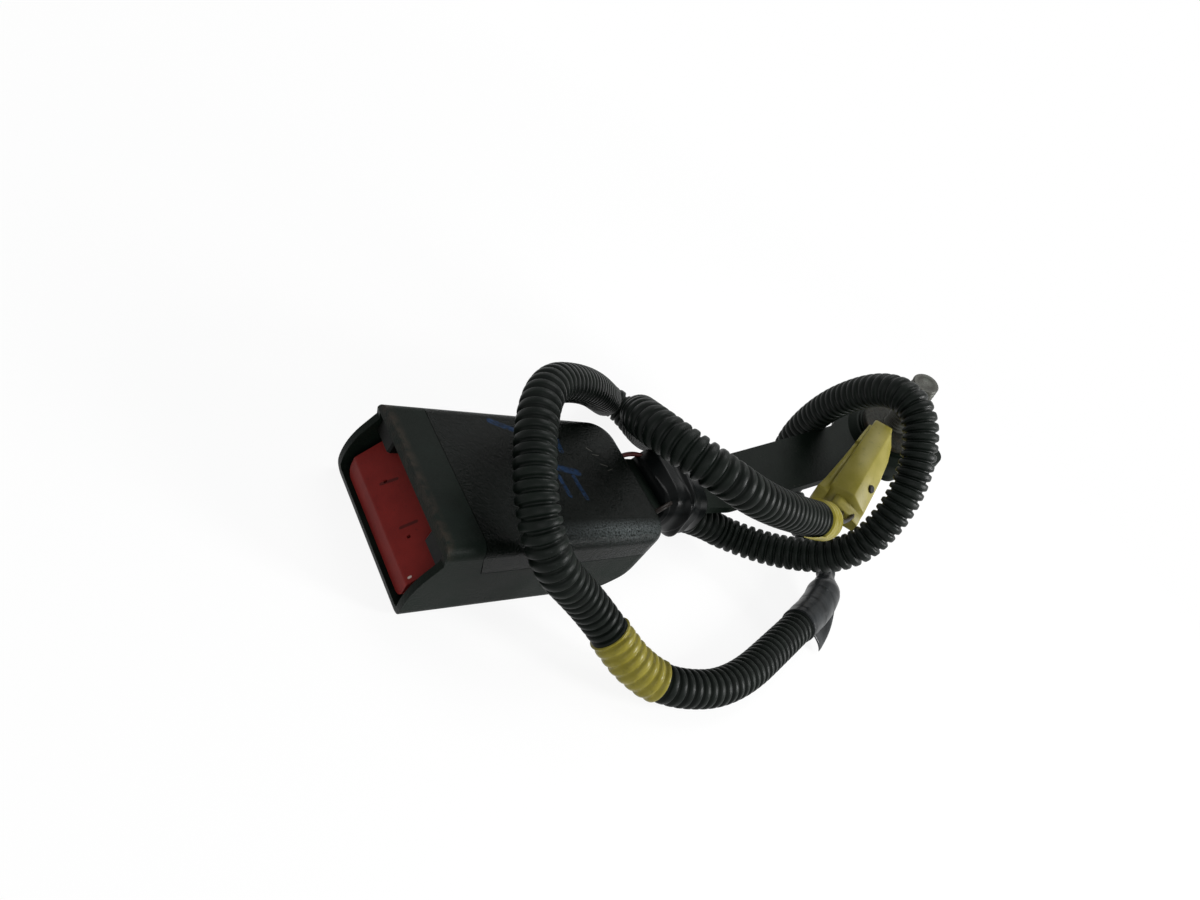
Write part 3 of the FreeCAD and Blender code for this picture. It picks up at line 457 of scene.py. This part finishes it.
# The stalk's slope, its bend and the eye's distance from the bend are those of the steel strip.
stalk_angle = math.radians(22.3)
stalk_bend = on_buckle(126.8, 0, 24.2)
eye_at = 82.4 * mm


def on_stalk(x, y, z):
    """A place in metres along the raised part of the stalk, across it and off its top."""
    along = Vector((math.cos(stalk_angle), 0, math.sin(stalk_angle)))
    off = Vector((-math.sin(stalk_angle), 0, math.cos(stalk_angle)))
    return stalk_bend + along * x + Vector((0, y, 0)) + off * z


thread_radius = 5.0 * mm
thread_root = 4.35 * mm
thread_pitch = 1.5 * mm
thread_start = 6.0 * mm
bolt_end = 29.6 * mm
sides = 48
rows_per_turn = 6
thread_rows = []
row_count = int((bolt_end - 1.6 * mm - thread_start) / thread_pitch * rows_per_turn)
for row in range(row_count):
    ring = []
    for i in range(sides):
        phase = (row / rows_per_turn - i / sides) % 1.0
        tooth = min(1.0, max(0.0, 1 - abs(phase - 0.5) * 2.4) * 1.3)
        radius = thread_root + (thread_radius - thread_root) * tooth
        angle = 2 * math.pi * i / sides
        ring.append((radius * math.cos(angle), radius * math.sin(angle),
                     thread_start + row * thread_pitch / rows_per_turn))
    thread_rows.append(ring)
shoulder = [(5.25 * mm, -0.4 * mm), (5.25 * mm, 5.7 * mm), (4.4 * mm, 5.9 * mm)]
tip = [(4.6 * mm, bolt_end - 1.5 * mm), (4.95 * mm, bolt_end - 1.1 * mm),
       (4.95 * mm, bolt_end - 0.4 * mm), (4.6 * mm, bolt_end), (3.2 * mm, bolt_end),
       (3.0 * mm, bolt_end - 0.15 * mm), (0.05 * mm, bolt_end - 0.15 * mm)]
flange = [(8.6 * mm, -3.0 * mm), (10.4 * mm, -2.6 * mm), (11.3 * mm, -2.0 * mm),
          (11.5 * mm, -1.3 * mm), (11.4 * mm, -0.8 * mm), (10.6 * mm, -0.5 * mm),
          (0.1 * mm, -0.5 * mm)]
hex_corner = 9.8 * mm
hexagon = turned([(0.4 * hex_corner, -10.0 * mm), (0.93 * hex_corner, -10.0 * mm),
                  (hex_corner, -9.4 * mm), (hex_corner, -2.9 * mm)], 6)
points = []
faces = []
for part in (turned(shoulder, sides) + thread_rows + turned(tip, sides),
             turned(flange, sides), hexagon):
    more_points, more_faces = skin(part, closed=True)
    faces += [tuple(len(points) + i for i in face) for face in more_faces]
    points += more_points
threaded_bolt = new_piece("threaded_bolt", [on_stalk(eye_at + x, y, z) for x, y, z in points],
                          faces, zinc_dull, "zinc_steel")
threaded_bolt.data.set_sharp_from_angle(angle=math.radians(40))
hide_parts("anchor_bolt")
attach(threaded_bolt, "bolt")

# The harness tube: corrugated polyamide, black and satin, 12 mm over its rings. It leaves the
# tape on the stalk, winds once round the stalk, and runs over the housing to the plug.
route = [on_buckle(*place) for place in (
    (104, -4, 15), (120, -7.5, 14), (134, -13, 11), (144, -29.5, 21), (151, -44.5, 39.5),
    (158, -39, 65.5), (162, -21.5, 85), (160.5, -5, 84), (171.5, 12.5, 58),
    (182, 19.5, 30), (187, 14, 14.5), (187.5, -4, 9), (187, -23.5, 10), (173, -42, 8.5),
    (138.5, -54, 6.6), (99, -67, 6.2), (73.5, -64, 7), (60, -55.5, 9), (48, -40, 17.5),
    (17.5, -32.5, 38), (27, 8.5, 56), (58.5, 21, 47), (93.5, 35, 26), (112, 57, 9),
    (126, 54.5, 6.5), (126.5, 34, 8.5), (99, 15, 35.5), (52.5, -1.5, 60),
    (58, -32, 69.5), (89.5, -40, 60), (127.5, -36.5, 50))]


def smooth_line(name, places):
    """Points along a smooth spline with these control points."""
    curve = bpy.data.curves.new(name, "CURVE")
    curve.dimensions = "3D"
    curve.resolution_u = 32
    spline = curve.splines.new("NURBS")
    spline.points.add(len(places) - 1)
    for point, place in zip(spline.points, places):
        point.co = (*place, 1.0)
    spline.order_u = 3
    spline.use_endpoint_u = True
    mesh = bpy.data.meshes.new_from_object(bpy.data.objects.new(name, curve))
    return [vertex.co.copy() for vertex in mesh.vertices]


class Line:
    """A line that gives its place and two cross directions at any distance along it."""

    def __init__(self, points):
        self.points = [points[0]]
        for point in points[1:]:
            if (point - self.points[-1]).length > 1e-6:
                self.points.append(point)
        self.reach = [0.0]
        for a, b in zip(self.points, self.points[1:]):
            self.reach.append(self.reach[-1] + (b - a).length)
        self.length = self.reach[-1]
        ahead = [(b - a).normalized() for a, b in zip(self.points, self.points[1:])]
        ahead.append(ahead[-1])
        side = ahead[0].orthogonal().normalized()
        self.frames = []
        for direction in ahead:
            side = (side - direction * side.dot(direction)).normalized()
            self.frames.append((direction, side))

    def at(self, distance):
        low = min(max(bisect.bisect_right(self.reach, distance) - 1, 0), len(self.reach) - 2)
        share = (distance - self.reach[low]) / (self.reach[low + 1] - self.reach[low])
        place = self.points[low].lerp(self.points[low + 1], share)
        ahead = self.frames[low][0].lerp(self.frames[low + 1][0], share).normalized()
        side = self.frames[low][1].lerp(self.frames[low + 1][1], share)
        side = (side - ahead * side.dot(ahead)).normalized()
        return place, ahead, side, ahead.cross(side)


def rings_along(line, stations, radius_at, sides):
    """Rings of points round a line; radius_at takes a distance and an angle."""
    rings = []
    for distance in stations:
        place, ahead, side, other = line.at(distance)
        rings.append([place + (side * math.cos(2 * math.pi * i / sides)
                               + other * math.sin(2 * math.pi * i / sides))
                      * radius_at(distance, 2 * math.pi * i / sides) for i in range(sides)])
    return rings


harness = Line(smooth_line("harness_line", route))
tube_radius = 5.9 * mm
groove_depth = 1.15 * mm
ring_pitch = 3.1 * mm
ring_profile = [(0.00, 1.0), (0.08, 1.0), (0.16, 0.45), (0.24, 0.12), (0.35, 0.0),
                (0.65, 0.0), (0.76, 0.12), (0.84, 0.45), (0.92, 1.0)]

polyamide, tree = new_finish("polyamide_black_corrugated")
tone = patches(tree, 9 * mm, 0.35, 0.7, seed=0.2)
colour = add(tree, "ShaderNodeMix", {"Factor": tone, "A": srgb("070c09"), "B": srgb("0e1410")},
             data_type="RGBA")
scratches = add(tree, "ShaderNodeMath", {0: patches(tree, 0.9 * mm, 0.66, 0.76, detail=5.0,
                                                    seed=7.0), 1: 0.4}, operation="MULTIPLY")
colour = add(tree, "ShaderNodeMix", {"Factor": scratches, "A": colour, "B": srgb("2c2f31")},
             data_type="RGBA")
rough = add(tree, "ShaderNodeMapRange", {"Value": tone, "To Min": 0.38, "To Max": 0.48})
add(tree, "ShaderNodeOutputMaterial", {"Surface": add(tree, "ShaderNodeBsdfPrincipled", {
    "Base Color": colour, "Roughness": rough, "Specular IOR Level": 0.09,
    "Normal": add(tree, "ShaderNodeBump", {"Height": patches(tree, 0.4 * mm, 0.3, 0.7),
                                           "Distance": 0.015 * mm})})})


def corrugated(name, start, end):
    """A corrugated tube between two distances along the harness, with whole rings."""
    count = int(round((end - start) / ring_pitch))
    depth_at = {}
    for k in range(count):
        for share, depth in ring_profile:
            depth_at[start + (end - start) * (k + share) / count] = depth
    depth_at[end] = 1.0
    rings = rings_along(harness, sorted(depth_at),
                        lambda distance, angle: tube_radius - groove_depth * depth_at[distance],
                        40)
    made = new_piece(name, *skin(rings, closed=True), polyamide, "conduit")
    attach(made, "housing")
    return made


# Where the tubes end and the tapes lie, in millimetres along the harness.
cut_length = 835.2
tape_turn = 9 * mm
per_mm = harness.length / cut_length
loop_end = 262 * per_mm
main_start = 284 * per_mm
junction_end = 312 * per_mm
band_start = 395 * per_mm
band_end = 417 * per_mm
loop_tube = corrugated("corrugated_loop", 0.0, loop_end)
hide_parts("conduit_loop")
main_tube = corrugated("corrugated_main", main_start, harness.length)
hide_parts("conduit_main")

# The black tape on the tubes: soft PVC, wound tightly round the bare wires between the two
# tubes and then over the second one, with a loose pointed end that hangs to the table.
pvc_black, tree = new_finish("pvc_tape_black_wound")
colour = add(tree, "ShaderNodeMix", {"Factor": patches(tree, 5 * mm, 0.3, 0.7, seed=2.0),
                                     "A": srgb("0e1112"), "B": srgb("181c1e")},
             data_type="RGBA")
add(tree, "ShaderNodeOutputMaterial", {"Surface": add(tree, "ShaderNodeBsdfPrincipled", {
    "Base Color": colour, "Roughness": 0.33, "Specular IOR Level": 0.15,
    "Normal": add(tree, "ShaderNodeBump", {"Height": patches(tree, 3 * mm, 0.3, 0.7,
                                                             detail=2.0),
                                           "Distance": 0.07 * mm})})})
neck_radius = 3.3 * mm
tape_overlap = 4 * mm
tape_step = 0.5 * mm


def smooth_step(value, low, high):
    """0 up to low, 1 from high on, and a smooth rise between them."""
    share = min(1.0, max(0.0, (value - low) / (high - low)))
    return share * share * (3 - 2 * share)


def junction_radius(distance, angle):
    """Thin and creased over the wires, full over the tubes, one step for each turn of tape."""
    leave = smooth_step(distance, loop_end - 1 * mm, loop_end + tape_overlap)
    reach = smooth_step(distance, main_start - 9 * mm, main_start + 1 * mm)
    full = tube_radius + 0.4 * mm
    narrow = leave * (1 - reach)
    turn = ((distance - loop_end) / tape_turn + angle / (2 * math.pi)) % 1.0
    crease = noise.noise(Vector((distance * 160 + angle * 0.6, math.cos(angle) * 1.5,
                                 math.sin(angle) * 1.5)))
    return (full + (neck_radius - full) * narrow + 0.12 * mm * turn
            + (0.1 + 0.7 * narrow) * mm * crease)


stations = [loop_end - tape_overlap + i * tape_step
            for i in range(int((junction_end - loop_end + tape_overlap) / tape_step))]
junction = new_piece("tape_over_junction",
                     *skin(rings_along(harness, stations, junction_radius, 48), closed=True),
                     pvc_black, "black_tape")
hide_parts("junction_tape")
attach(junction, "housing")

tail_root = [on_buckle(152.5, -51.5, 7.5), on_buckle(164, -50.5, 5.5), on_buckle(178, -42.5, 9)]
tail_tip = on_buckle(159.4, -58.9, 1.2)
tape_thickness = 0.2 * mm
rows = 9
columns = 6
points = []
for row in range(rows + 1):
    share = row / rows
    for k in range(columns + 1):
        across = 2 * k / columns
        if across < 1:
            root = tail_root[0].lerp(tail_root[1], across)
        else:
            root = tail_root[1].lerp(tail_root[2], across - 1)
        bow = Vector((0.4, -0.9, 0.1)) * 1.6 * mm * math.sin(math.pi * share)
        points.append(root.lerp(tail_tip, share ** 0.9) + bow)
faces = [(r * (columns + 1) + k, r * (columns + 1) + k + 1, (r + 1) * (columns + 1) + k + 1,
          (r + 1) * (columns + 1) + k) for r in range(rows) for k in range(columns)]
tail = new_piece("tape_loose_end", points, faces, pvc_black, "black_tape")
thicken = tail.modifiers.new("tape_thickness", "SOLIDIFY")
thicken.thickness = tape_thickness
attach(tail, "housing")

# Yellow tape marks the safety harness: thin glossy PVC wound over the rings, which show
# through it, and once more round the tube's open end, where it stands off in a torn strip.
pvc_yellow, tree = new_finish("pvc_tape_yellow_wound")
colour = add(tree, "ShaderNodeMix", {"Factor": patches(tree, 6 * mm, 0.35, 0.65, seed=1.0),
                                     "A": srgb("746b1c"), "B": srgb("867d31")},
             data_type="RGBA")
dirt = add(tree, "ShaderNodeMath", {0: patches(tree, 1.3 * mm, 0.62, 0.74, detail=5.0,
                                               seed=8.0), 1: 0.4}, operation="MULTIPLY")
colour = add(tree, "ShaderNodeMix", {"Factor": dirt, "A": colour, "B": srgb("453f18")},
             data_type="RGBA")
add(tree, "ShaderNodeOutputMaterial", {"Surface": add(tree, "ShaderNodeBsdfPrincipled", {
    "Base Color": colour, "Roughness": 0.32, "Specular IOR Level": 0.16,
    "Normal": add(tree, "ShaderNodeBump", {"Height": patches(tree, 2.0 * mm, 0.3, 0.7),
                                           "Distance": 0.06 * mm})})})


def taped_rings(name, start, end, skin_thickness, sag):
    """Tape over the tube's rings: a step for each turn over softened ridges."""
    count = int(round((end - start) / (0.25 * mm)))
    pitch = (harness.length - main_start) / round((harness.length - main_start) / ring_pitch)

    def radius_at(distance, angle):
        groove = 0.5 + 0.5 * math.cos(2 * math.pi * (distance - main_start) / pitch)
        turn = ((distance - start) / tape_turn + angle / (2 * math.pi)) % 1.0
        return tube_radius + skin_thickness - sag * groove ** 2 + 0.14 * mm * turn
    stations = [start + (end - start) * i / count for i in range(count + 1)]
    made = new_piece(name, *skin(rings_along(harness, stations, radius_at, 44), closed=True),
                     pvc_yellow, "yellow_tape")
    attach(made, "housing")
    return made


band = taped_rings("tape_yellow_band", band_start, band_end, 0.5 * mm, 0.6 * mm)
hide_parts("yellow_band")
end_ring = taped_rings("tape_yellow_end", harness.length - 8 * mm, harness.length,
                       0.6 * mm, 0.15 * mm)
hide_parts("yellow_end_ring")
strip_length = 14
strip_columns = 5
strip_start = harness.length - 20 * mm
strip_rows = []
for row in range(strip_length + 1):
    place, ahead = harness.at(strip_start + row * mm)[:2]
    low = Vector((-0.2, -0.75, -0.6))
    low = (low - ahead * low.dot(ahead)).normalized()
    across = ahead.cross(low)
    spread = 0.75 * smooth_step(row, 0, strip_length) + 0.04 * math.sin(row * 2.1)
    turns = [-0.2 + spread * (k / strip_columns - 0.6) for k in range(strip_columns + 1)]
    strip_rows.append([place + (low * math.cos(turn) + across * math.sin(turn))
                       * (tube_radius + 0.7 * mm) for turn in turns])
points = [point for ring in strip_rows for point in ring]
count = strip_columns + 1
faces = [(r * count + k, r * count + k + 1, (r + 1) * count + k + 1, (r + 1) * count + k)
         for r in range(strip_length) for k in range(strip_columns)]
torn_strip = new_piece("tape_torn_strip", points, faces, pvc_yellow, "yellow_tape")
thicken = torn_strip.modifiers.new("tape_thickness", "SOLIDIFY")
thicken.thickness = tape_thickness
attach(torn_strip, "housing")

# The tape on the stalk: black PVC, pulled round the strip, both sensor wires and the start of the
# tube.
# It bulges below, steps at each turn and has one thick fold, and it is coloured darker than the
# tape on the tubes.
pvc_dark, tree = new_finish("pvc_tape_black_darker")
colour = add(tree, "ShaderNodeMix", {"Factor": patches(tree, 4 * mm, 0.3, 0.7, seed=3.0),
                                     "A": srgb("060808"), "B": srgb("0c0f0f")},
             data_type="RGBA")
add(tree, "ShaderNodeOutputMaterial", {"Surface": add(tree, "ShaderNodeBsdfPrincipled", {
    "Base Color": colour, "Roughness": 0.3, "Specular IOR Level": 0.07})})
wrap_start = 91.0
wrap_end = 113.0
wrap_turns = 3
wrap_steps = 80
wrap_rows = [(91.0, 12.4, 13.0, 28.6), (95.0, 13.6, 10.8, 31.4), (102.0, 14.2, 8.9, 31.6),
             (108.0, 13.7, 8.5, 29.6), (113.0, 12.8, 8.2, 27.6)]
squareness = 3.0
sides = 64
rings = []
for row in range(wrap_steps + 1):
    x = wrap_start + (wrap_end - wrap_start) * row / wrap_steps
    before, after = next((a, b) for a, b in zip(wrap_rows, wrap_rows[1:]) if x <= b[0] + 0.001)
    share = (x - before[0]) / (after[0] - before[0])
    half_width, floor, top = [before[k] + (after[k] - before[k]) * share for k in (1, 2, 3)]
    ring = []
    for i in range(sides):
        angle = 2 * math.pi * i / sides
        reach = (abs(math.cos(angle)) ** squareness
                 + abs(math.sin(angle)) ** squareness) ** (-1 / squareness)
        turn = (wrap_turns * (x - wrap_start) / (wrap_end - wrap_start)
                + 0.25 * math.cos(angle)) % 1.0
        crease = noise.noise(Vector((x * 0.16, math.cos(angle) * 1.6, math.sin(angle) * 1.6)))
        fold_at = 104 + 3.5 * math.cos(angle + 0.5)
        fold = 0.13 * math.exp(-((x - fold_at) / 1.7) ** 2)
        swell = 0.93 + 0.04 * turn ** 2 + 0.03 * crease + fold
        ring.append(on_buckle(x, half_width * reach * math.cos(angle) * swell,
                              (floor + top) / 2 + (top - floor) / 2 * reach
                              * math.sin(angle) * swell))
    rings.append(ring)
stalk_wrap = new_piece("tape_round_stalk", *skin(rings, closed=True), pvc_dark, "black_tape")
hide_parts("strap_tape")
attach(stalk_wrap, "housing")

# Two thin PVC-insulated wires leave the sensor board, pass beside the stalk and go under the
# tape: one red, one black. Extruded insulation is smooth and a little shiny.
pvc_wire_red, tree = new_finish("pvc_wire_red_extruded")
colour = add(tree, "ShaderNodeMix", {"Factor": patches(tree, 3 * mm, 0.3, 0.7),
                                     "A": srgb("3c100e"), "B": srgb("4a1411")},
             data_type="RGBA")
add(tree, "ShaderNodeOutputMaterial", {"Surface": add(tree, "ShaderNodeBsdfPrincipled", {
    "Base Color": colour, "Roughness": 0.35, "Specular IOR Level": 0.3})})
pvc_wire_dark, tree = new_finish("pvc_wire_dark_extruded")
colour = add(tree, "ShaderNodeMix", {"Factor": patches(tree, 3 * mm, 0.3, 0.7),
                                     "A": srgb("100d0b"), "B": srgb("1e1611")},
             data_type="RGBA")
add(tree, "ShaderNodeOutputMaterial", {"Surface": add(tree, "ShaderNodeBsdfPrincipled", {
    "Base Color": colour, "Roughness": 0.35, "Specular IOR Level": 0.12})})
lead_route = [(66, 9, 9.2), (66, 9, 12.7), (74, 11.7, 14.5), (82, 11.7, 20.5),
              (89, 11.9, 26.6), (97, 8.0, 26.4), (105, 7.0, 26.1)]
wire_radius = 0.8 * mm
lead_steps = 70
for name, side, insulation in (("red", 1, pvc_wire_red), ("black", -1, pvc_wire_dark)):
    places = [on_buckle(x, side * y, z) for x, y, z in lead_route]
    line = Line(smooth_line("lead_line_" + name, places))
    stations = [line.length * i / lead_steps for i in range(lead_steps + 1)]
    lead = new_piece("sensor_lead_" + name,
                     *skin(rings_along(line, stations, lambda d, a: wire_radius, 12),
                           closed=True), insulation, "wire_" + name)
    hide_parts("lead_" + name)
    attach(lead, "housing")
    [line.at(d)[0][:] for d in stations]

# The plug: yellow PBT, moulded in one piece with a slope along its near side and a lower step
# at the back. Its lock plate lies along its far side. Both are satin and grimy in small spots.
pbt_yellow, tree = new_finish("pbt_yellow_moulded")
colour = add(tree, "ShaderNodeMix", {"Factor": patches(tree, 9 * mm, 0.35, 0.7, seed=0.4),
                                     "A": srgb("7c742c"), "B": srgb("8b823f")},
             data_type="RGBA")
grime = add(tree, "ShaderNodeMath", {0: patches(tree, 1.8 * mm, 0.6, 0.76, detail=5.0,
                                                seed=9.0), 1: 0.4}, operation="MULTIPLY")
colour = add(tree, "ShaderNodeMix", {"Factor": grime, "A": colour, "B": srgb("4c4415")},
             data_type="RGBA")
add(tree, "ShaderNodeOutputMaterial", {"Surface": add(tree, "ShaderNodeBsdfPrincipled", {
    "Base Color": colour, "Roughness": 0.42, "Specular IOR Level": 0.15,
    "Normal": add(tree, "ShaderNodeBump", {"Height": patches(tree, 0.6 * mm, 0.3, 0.7),
                                           "Distance": 0.02 * mm})})})
plug_turn = math.radians(33.0)
plug_tilt = math.radians(5.2)
plug_rear = -19.0


def on_plug(u, v, w):
    """A place in millimetres along the plug, across it and up from its lower face."""
    x = plug_rear + (u - plug_rear) * math.cos(plug_tilt) - w * math.sin(plug_tilt)
    z = (u - plug_rear) * math.sin(plug_tilt) + w * math.cos(plug_tilt)
    return on_stalk((51.5 + x * math.cos(plug_turn) - v * math.sin(plug_turn)) * mm,
                    (-18.5 + x * math.sin(plug_turn) + v * math.cos(plug_turn)) * mm,
                    (-0.7 + z) * mm)


bevel = 0.6
plug_sections = [(-19.0, -5.3, 4.2, 6.0, 8.2), (-18.4, -5.3, 4.4, 6.4, 9.0),
                 (-14.8, -5.3, 4.4, 6.6, 9.0), (-14.2, -5.3, 1.6, 9.7, 11.4),
                 (-13.6, -5.3, 1.6, 9.9, 12.0), (2.7, -5.2, 1.2, 8.7, 12.0),
                 (13.2, -4.5, 0.8, 8.0, 12.0), (21.0, -3.0, 0.6, 7.4, 11.8),
                 (23.4, -1.2, 0.9, 7.2, 11.3), (24.0, -0.4, 1.6, 6.8, 10.6)]
rings = []
for u, near, ridge, far, top in plug_sections:
    section = [(near + bevel, 0), (far - bevel, 0), (far, bevel), (far, top - bevel),
               (far - bevel, top), (ridge, top), (ridge - 0.7, top - 0.3),
               (near + 0.5, 0.48 * top + 0.5), (near, 0.48 * top - 0.4), (near, bevel)]
    rings.append([on_plug(u, v, w) for v, w in section])
plug_body = new_piece("plug_body", *skin(rings, closed=True), pbt_yellow, "yellow_plastic")
plug_body.data.set_sharp_from_angle(angle=math.radians(50))
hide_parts("connector_housing")
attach(plug_body, "housing")
lock_sections = [(-16.4, 9.4, 13.2, 8.6), (-15.8, 9.4, 13.6, 9.4), (-11.3, 9.2, 12.6, 9.4),
                 (2.0, 8.4, 10.6, 9.4), (10.0, 7.9, 9.6, 9.4), (10.6, 7.9, 9.5, 10.4),
                 (14.0, 7.6, 9.2, 10.4), (15.0, 7.5, 9.1, 9.4), (22.0, 6.9, 8.2, 9.0)]
rings = []
for u, near, far, top in lock_sections:
    section = [(near, 0), (far - 0.4, 0), (far, 0.4), (far, top - 0.5), (far - 0.5, top),
               (near + 0.4, top), (near, top - 0.4)]
    rings.append([on_plug(u, v, w) for v, w in section])
plug_lock = new_piece("plug_lock", *skin(rings, closed=True), pbt_yellow, "yellow_plastic")
plug_lock.data.set_sharp_from_angle(angle=math.radians(50))
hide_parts("connector_lock")
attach(plug_lock, "housing")

# The seal: a small plug of black nitrile rubber in a hole in the slope, dull and slightly
# proud. It is put where the camera sees the CAD seal, on the line of sight to it.
seal_sides = 24
seal_profile = [(1.5 * mm, -1.2 * mm), (1.5 * mm, 0.3 * mm), (1.2 * mm, 0.6 * mm),
                (0.6 * mm, 0.5 * mm)]
seal_rubber, tree = new_finish("nitrile_rubber_black")
colour = add(tree, "ShaderNodeMix", {"Factor": patches(tree, 0.8 * mm, 0.3, 0.7),
                                     "A": srgb("0d0d0d"), "B": srgb("191919")},
             data_type="RGBA")
add(tree, "ShaderNodeOutputMaterial", {"Surface": add(tree, "ShaderNodeBsdfPrincipled", {
    "Base Color": colour, "Roughness": 0.6, "Specular IOR Level": 0.15})})
seal_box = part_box("connector_seal")
seen_at = (seal_box[0] + seal_box[1]) / 2 - eye_place
high = on_plug(-13.6, 0.9, 11.7)
down = on_plug(-13.6, -4.8, 6.26) - high
ahead = (on_plug(2.7, 0.5, 11.7) - high).normalized()
out = down.cross(ahead).normalized()
across = out.cross(ahead)
seal_place = eye_place + seen_at * ((high - eye_place).dot(out) / seen_at.dot(out))
seal_rings = [[seal_place + ahead * x + across * y + out * z for x, y, z in ring]
              for ring in turned(seal_profile, seal_sides)]
plug_seal = new_piece("plug_seal", *skin(seal_rings, closed=True), seal_rubber, "seal_rubber")
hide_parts("connector_seal")
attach(plug_seal, "housing")

# The contacts inside the plug: stamped brass, bare and bright, seen only at its mating face.
stamped_brass, tree = new_finish("brass_stamped_contacts")
colour = add(tree, "ShaderNodeMix", {"Factor": patches(tree, 1 * mm, 0.3, 0.7),
                                     "A": srgb("a98a44"), "B": srgb("c0a35a")},
             data_type="RGBA")
add(tree, "ShaderNodeOutputMaterial", {"Surface": add(tree, "ShaderNodeBsdfPrincipled", {
    "Base Color": colour, "Roughness": 0.3, "Metallic": 1.0})})
dress("connector_terminals", stamped_brass)

# Two dark wires in PVC run from the tube's open end into the back of the plug. They start 5 mm
# inside the tube and end inside the plug's body.
wire_shift = 1.3
wire_steps = 30
points = []
faces = []
tube_end, tube_ahead, tube_side = harness.at(harness.length)[:3]
for shift in (-wire_shift, wire_shift):
    inside = tube_end - tube_ahead * 5 * mm + tube_side * shift * mm
    places = [inside, inside + tube_ahead * 8 * mm + Vector((0, 0, 1.2 * mm)),
              on_plug(-22.0, shift * 1.4 - 0.4, 6.5), on_plug(-14.5, shift * 1.4 - 0.4, 4.5)]
    line = Line(smooth_line("plug_wire_line", places))
    stations = [line.length * i / wire_steps for i in range(wire_steps + 1)]
    more_points, more_faces = skin(rings_along(line, stations, lambda d, a: wire_radius, 12),
                                   closed=True)
    faces += [tuple(len(points) + i for i in face) for face in more_faces]
    points += more_points
plug_wires = new_piece("plug_wires", points, faces, pvc_wire_dark, "wire_black")
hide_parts("connector_leads")
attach(plug_wires, "housing")

# The paths of both tubes, as lists of points. The first ends in the taped junction, and the
# second carries the tapes, the wires and the plug at its end.
loop_steps = 300
main_steps = 600
main_length = harness.length - main_start
loop_path = [harness.at(loop_end * i / loop_steps)[0][:] for i in range(loop_steps + 1)]
main_path = [harness.at(main_start + main_length * i / main_steps)[0][:]
             for i in range(main_steps + 1)]
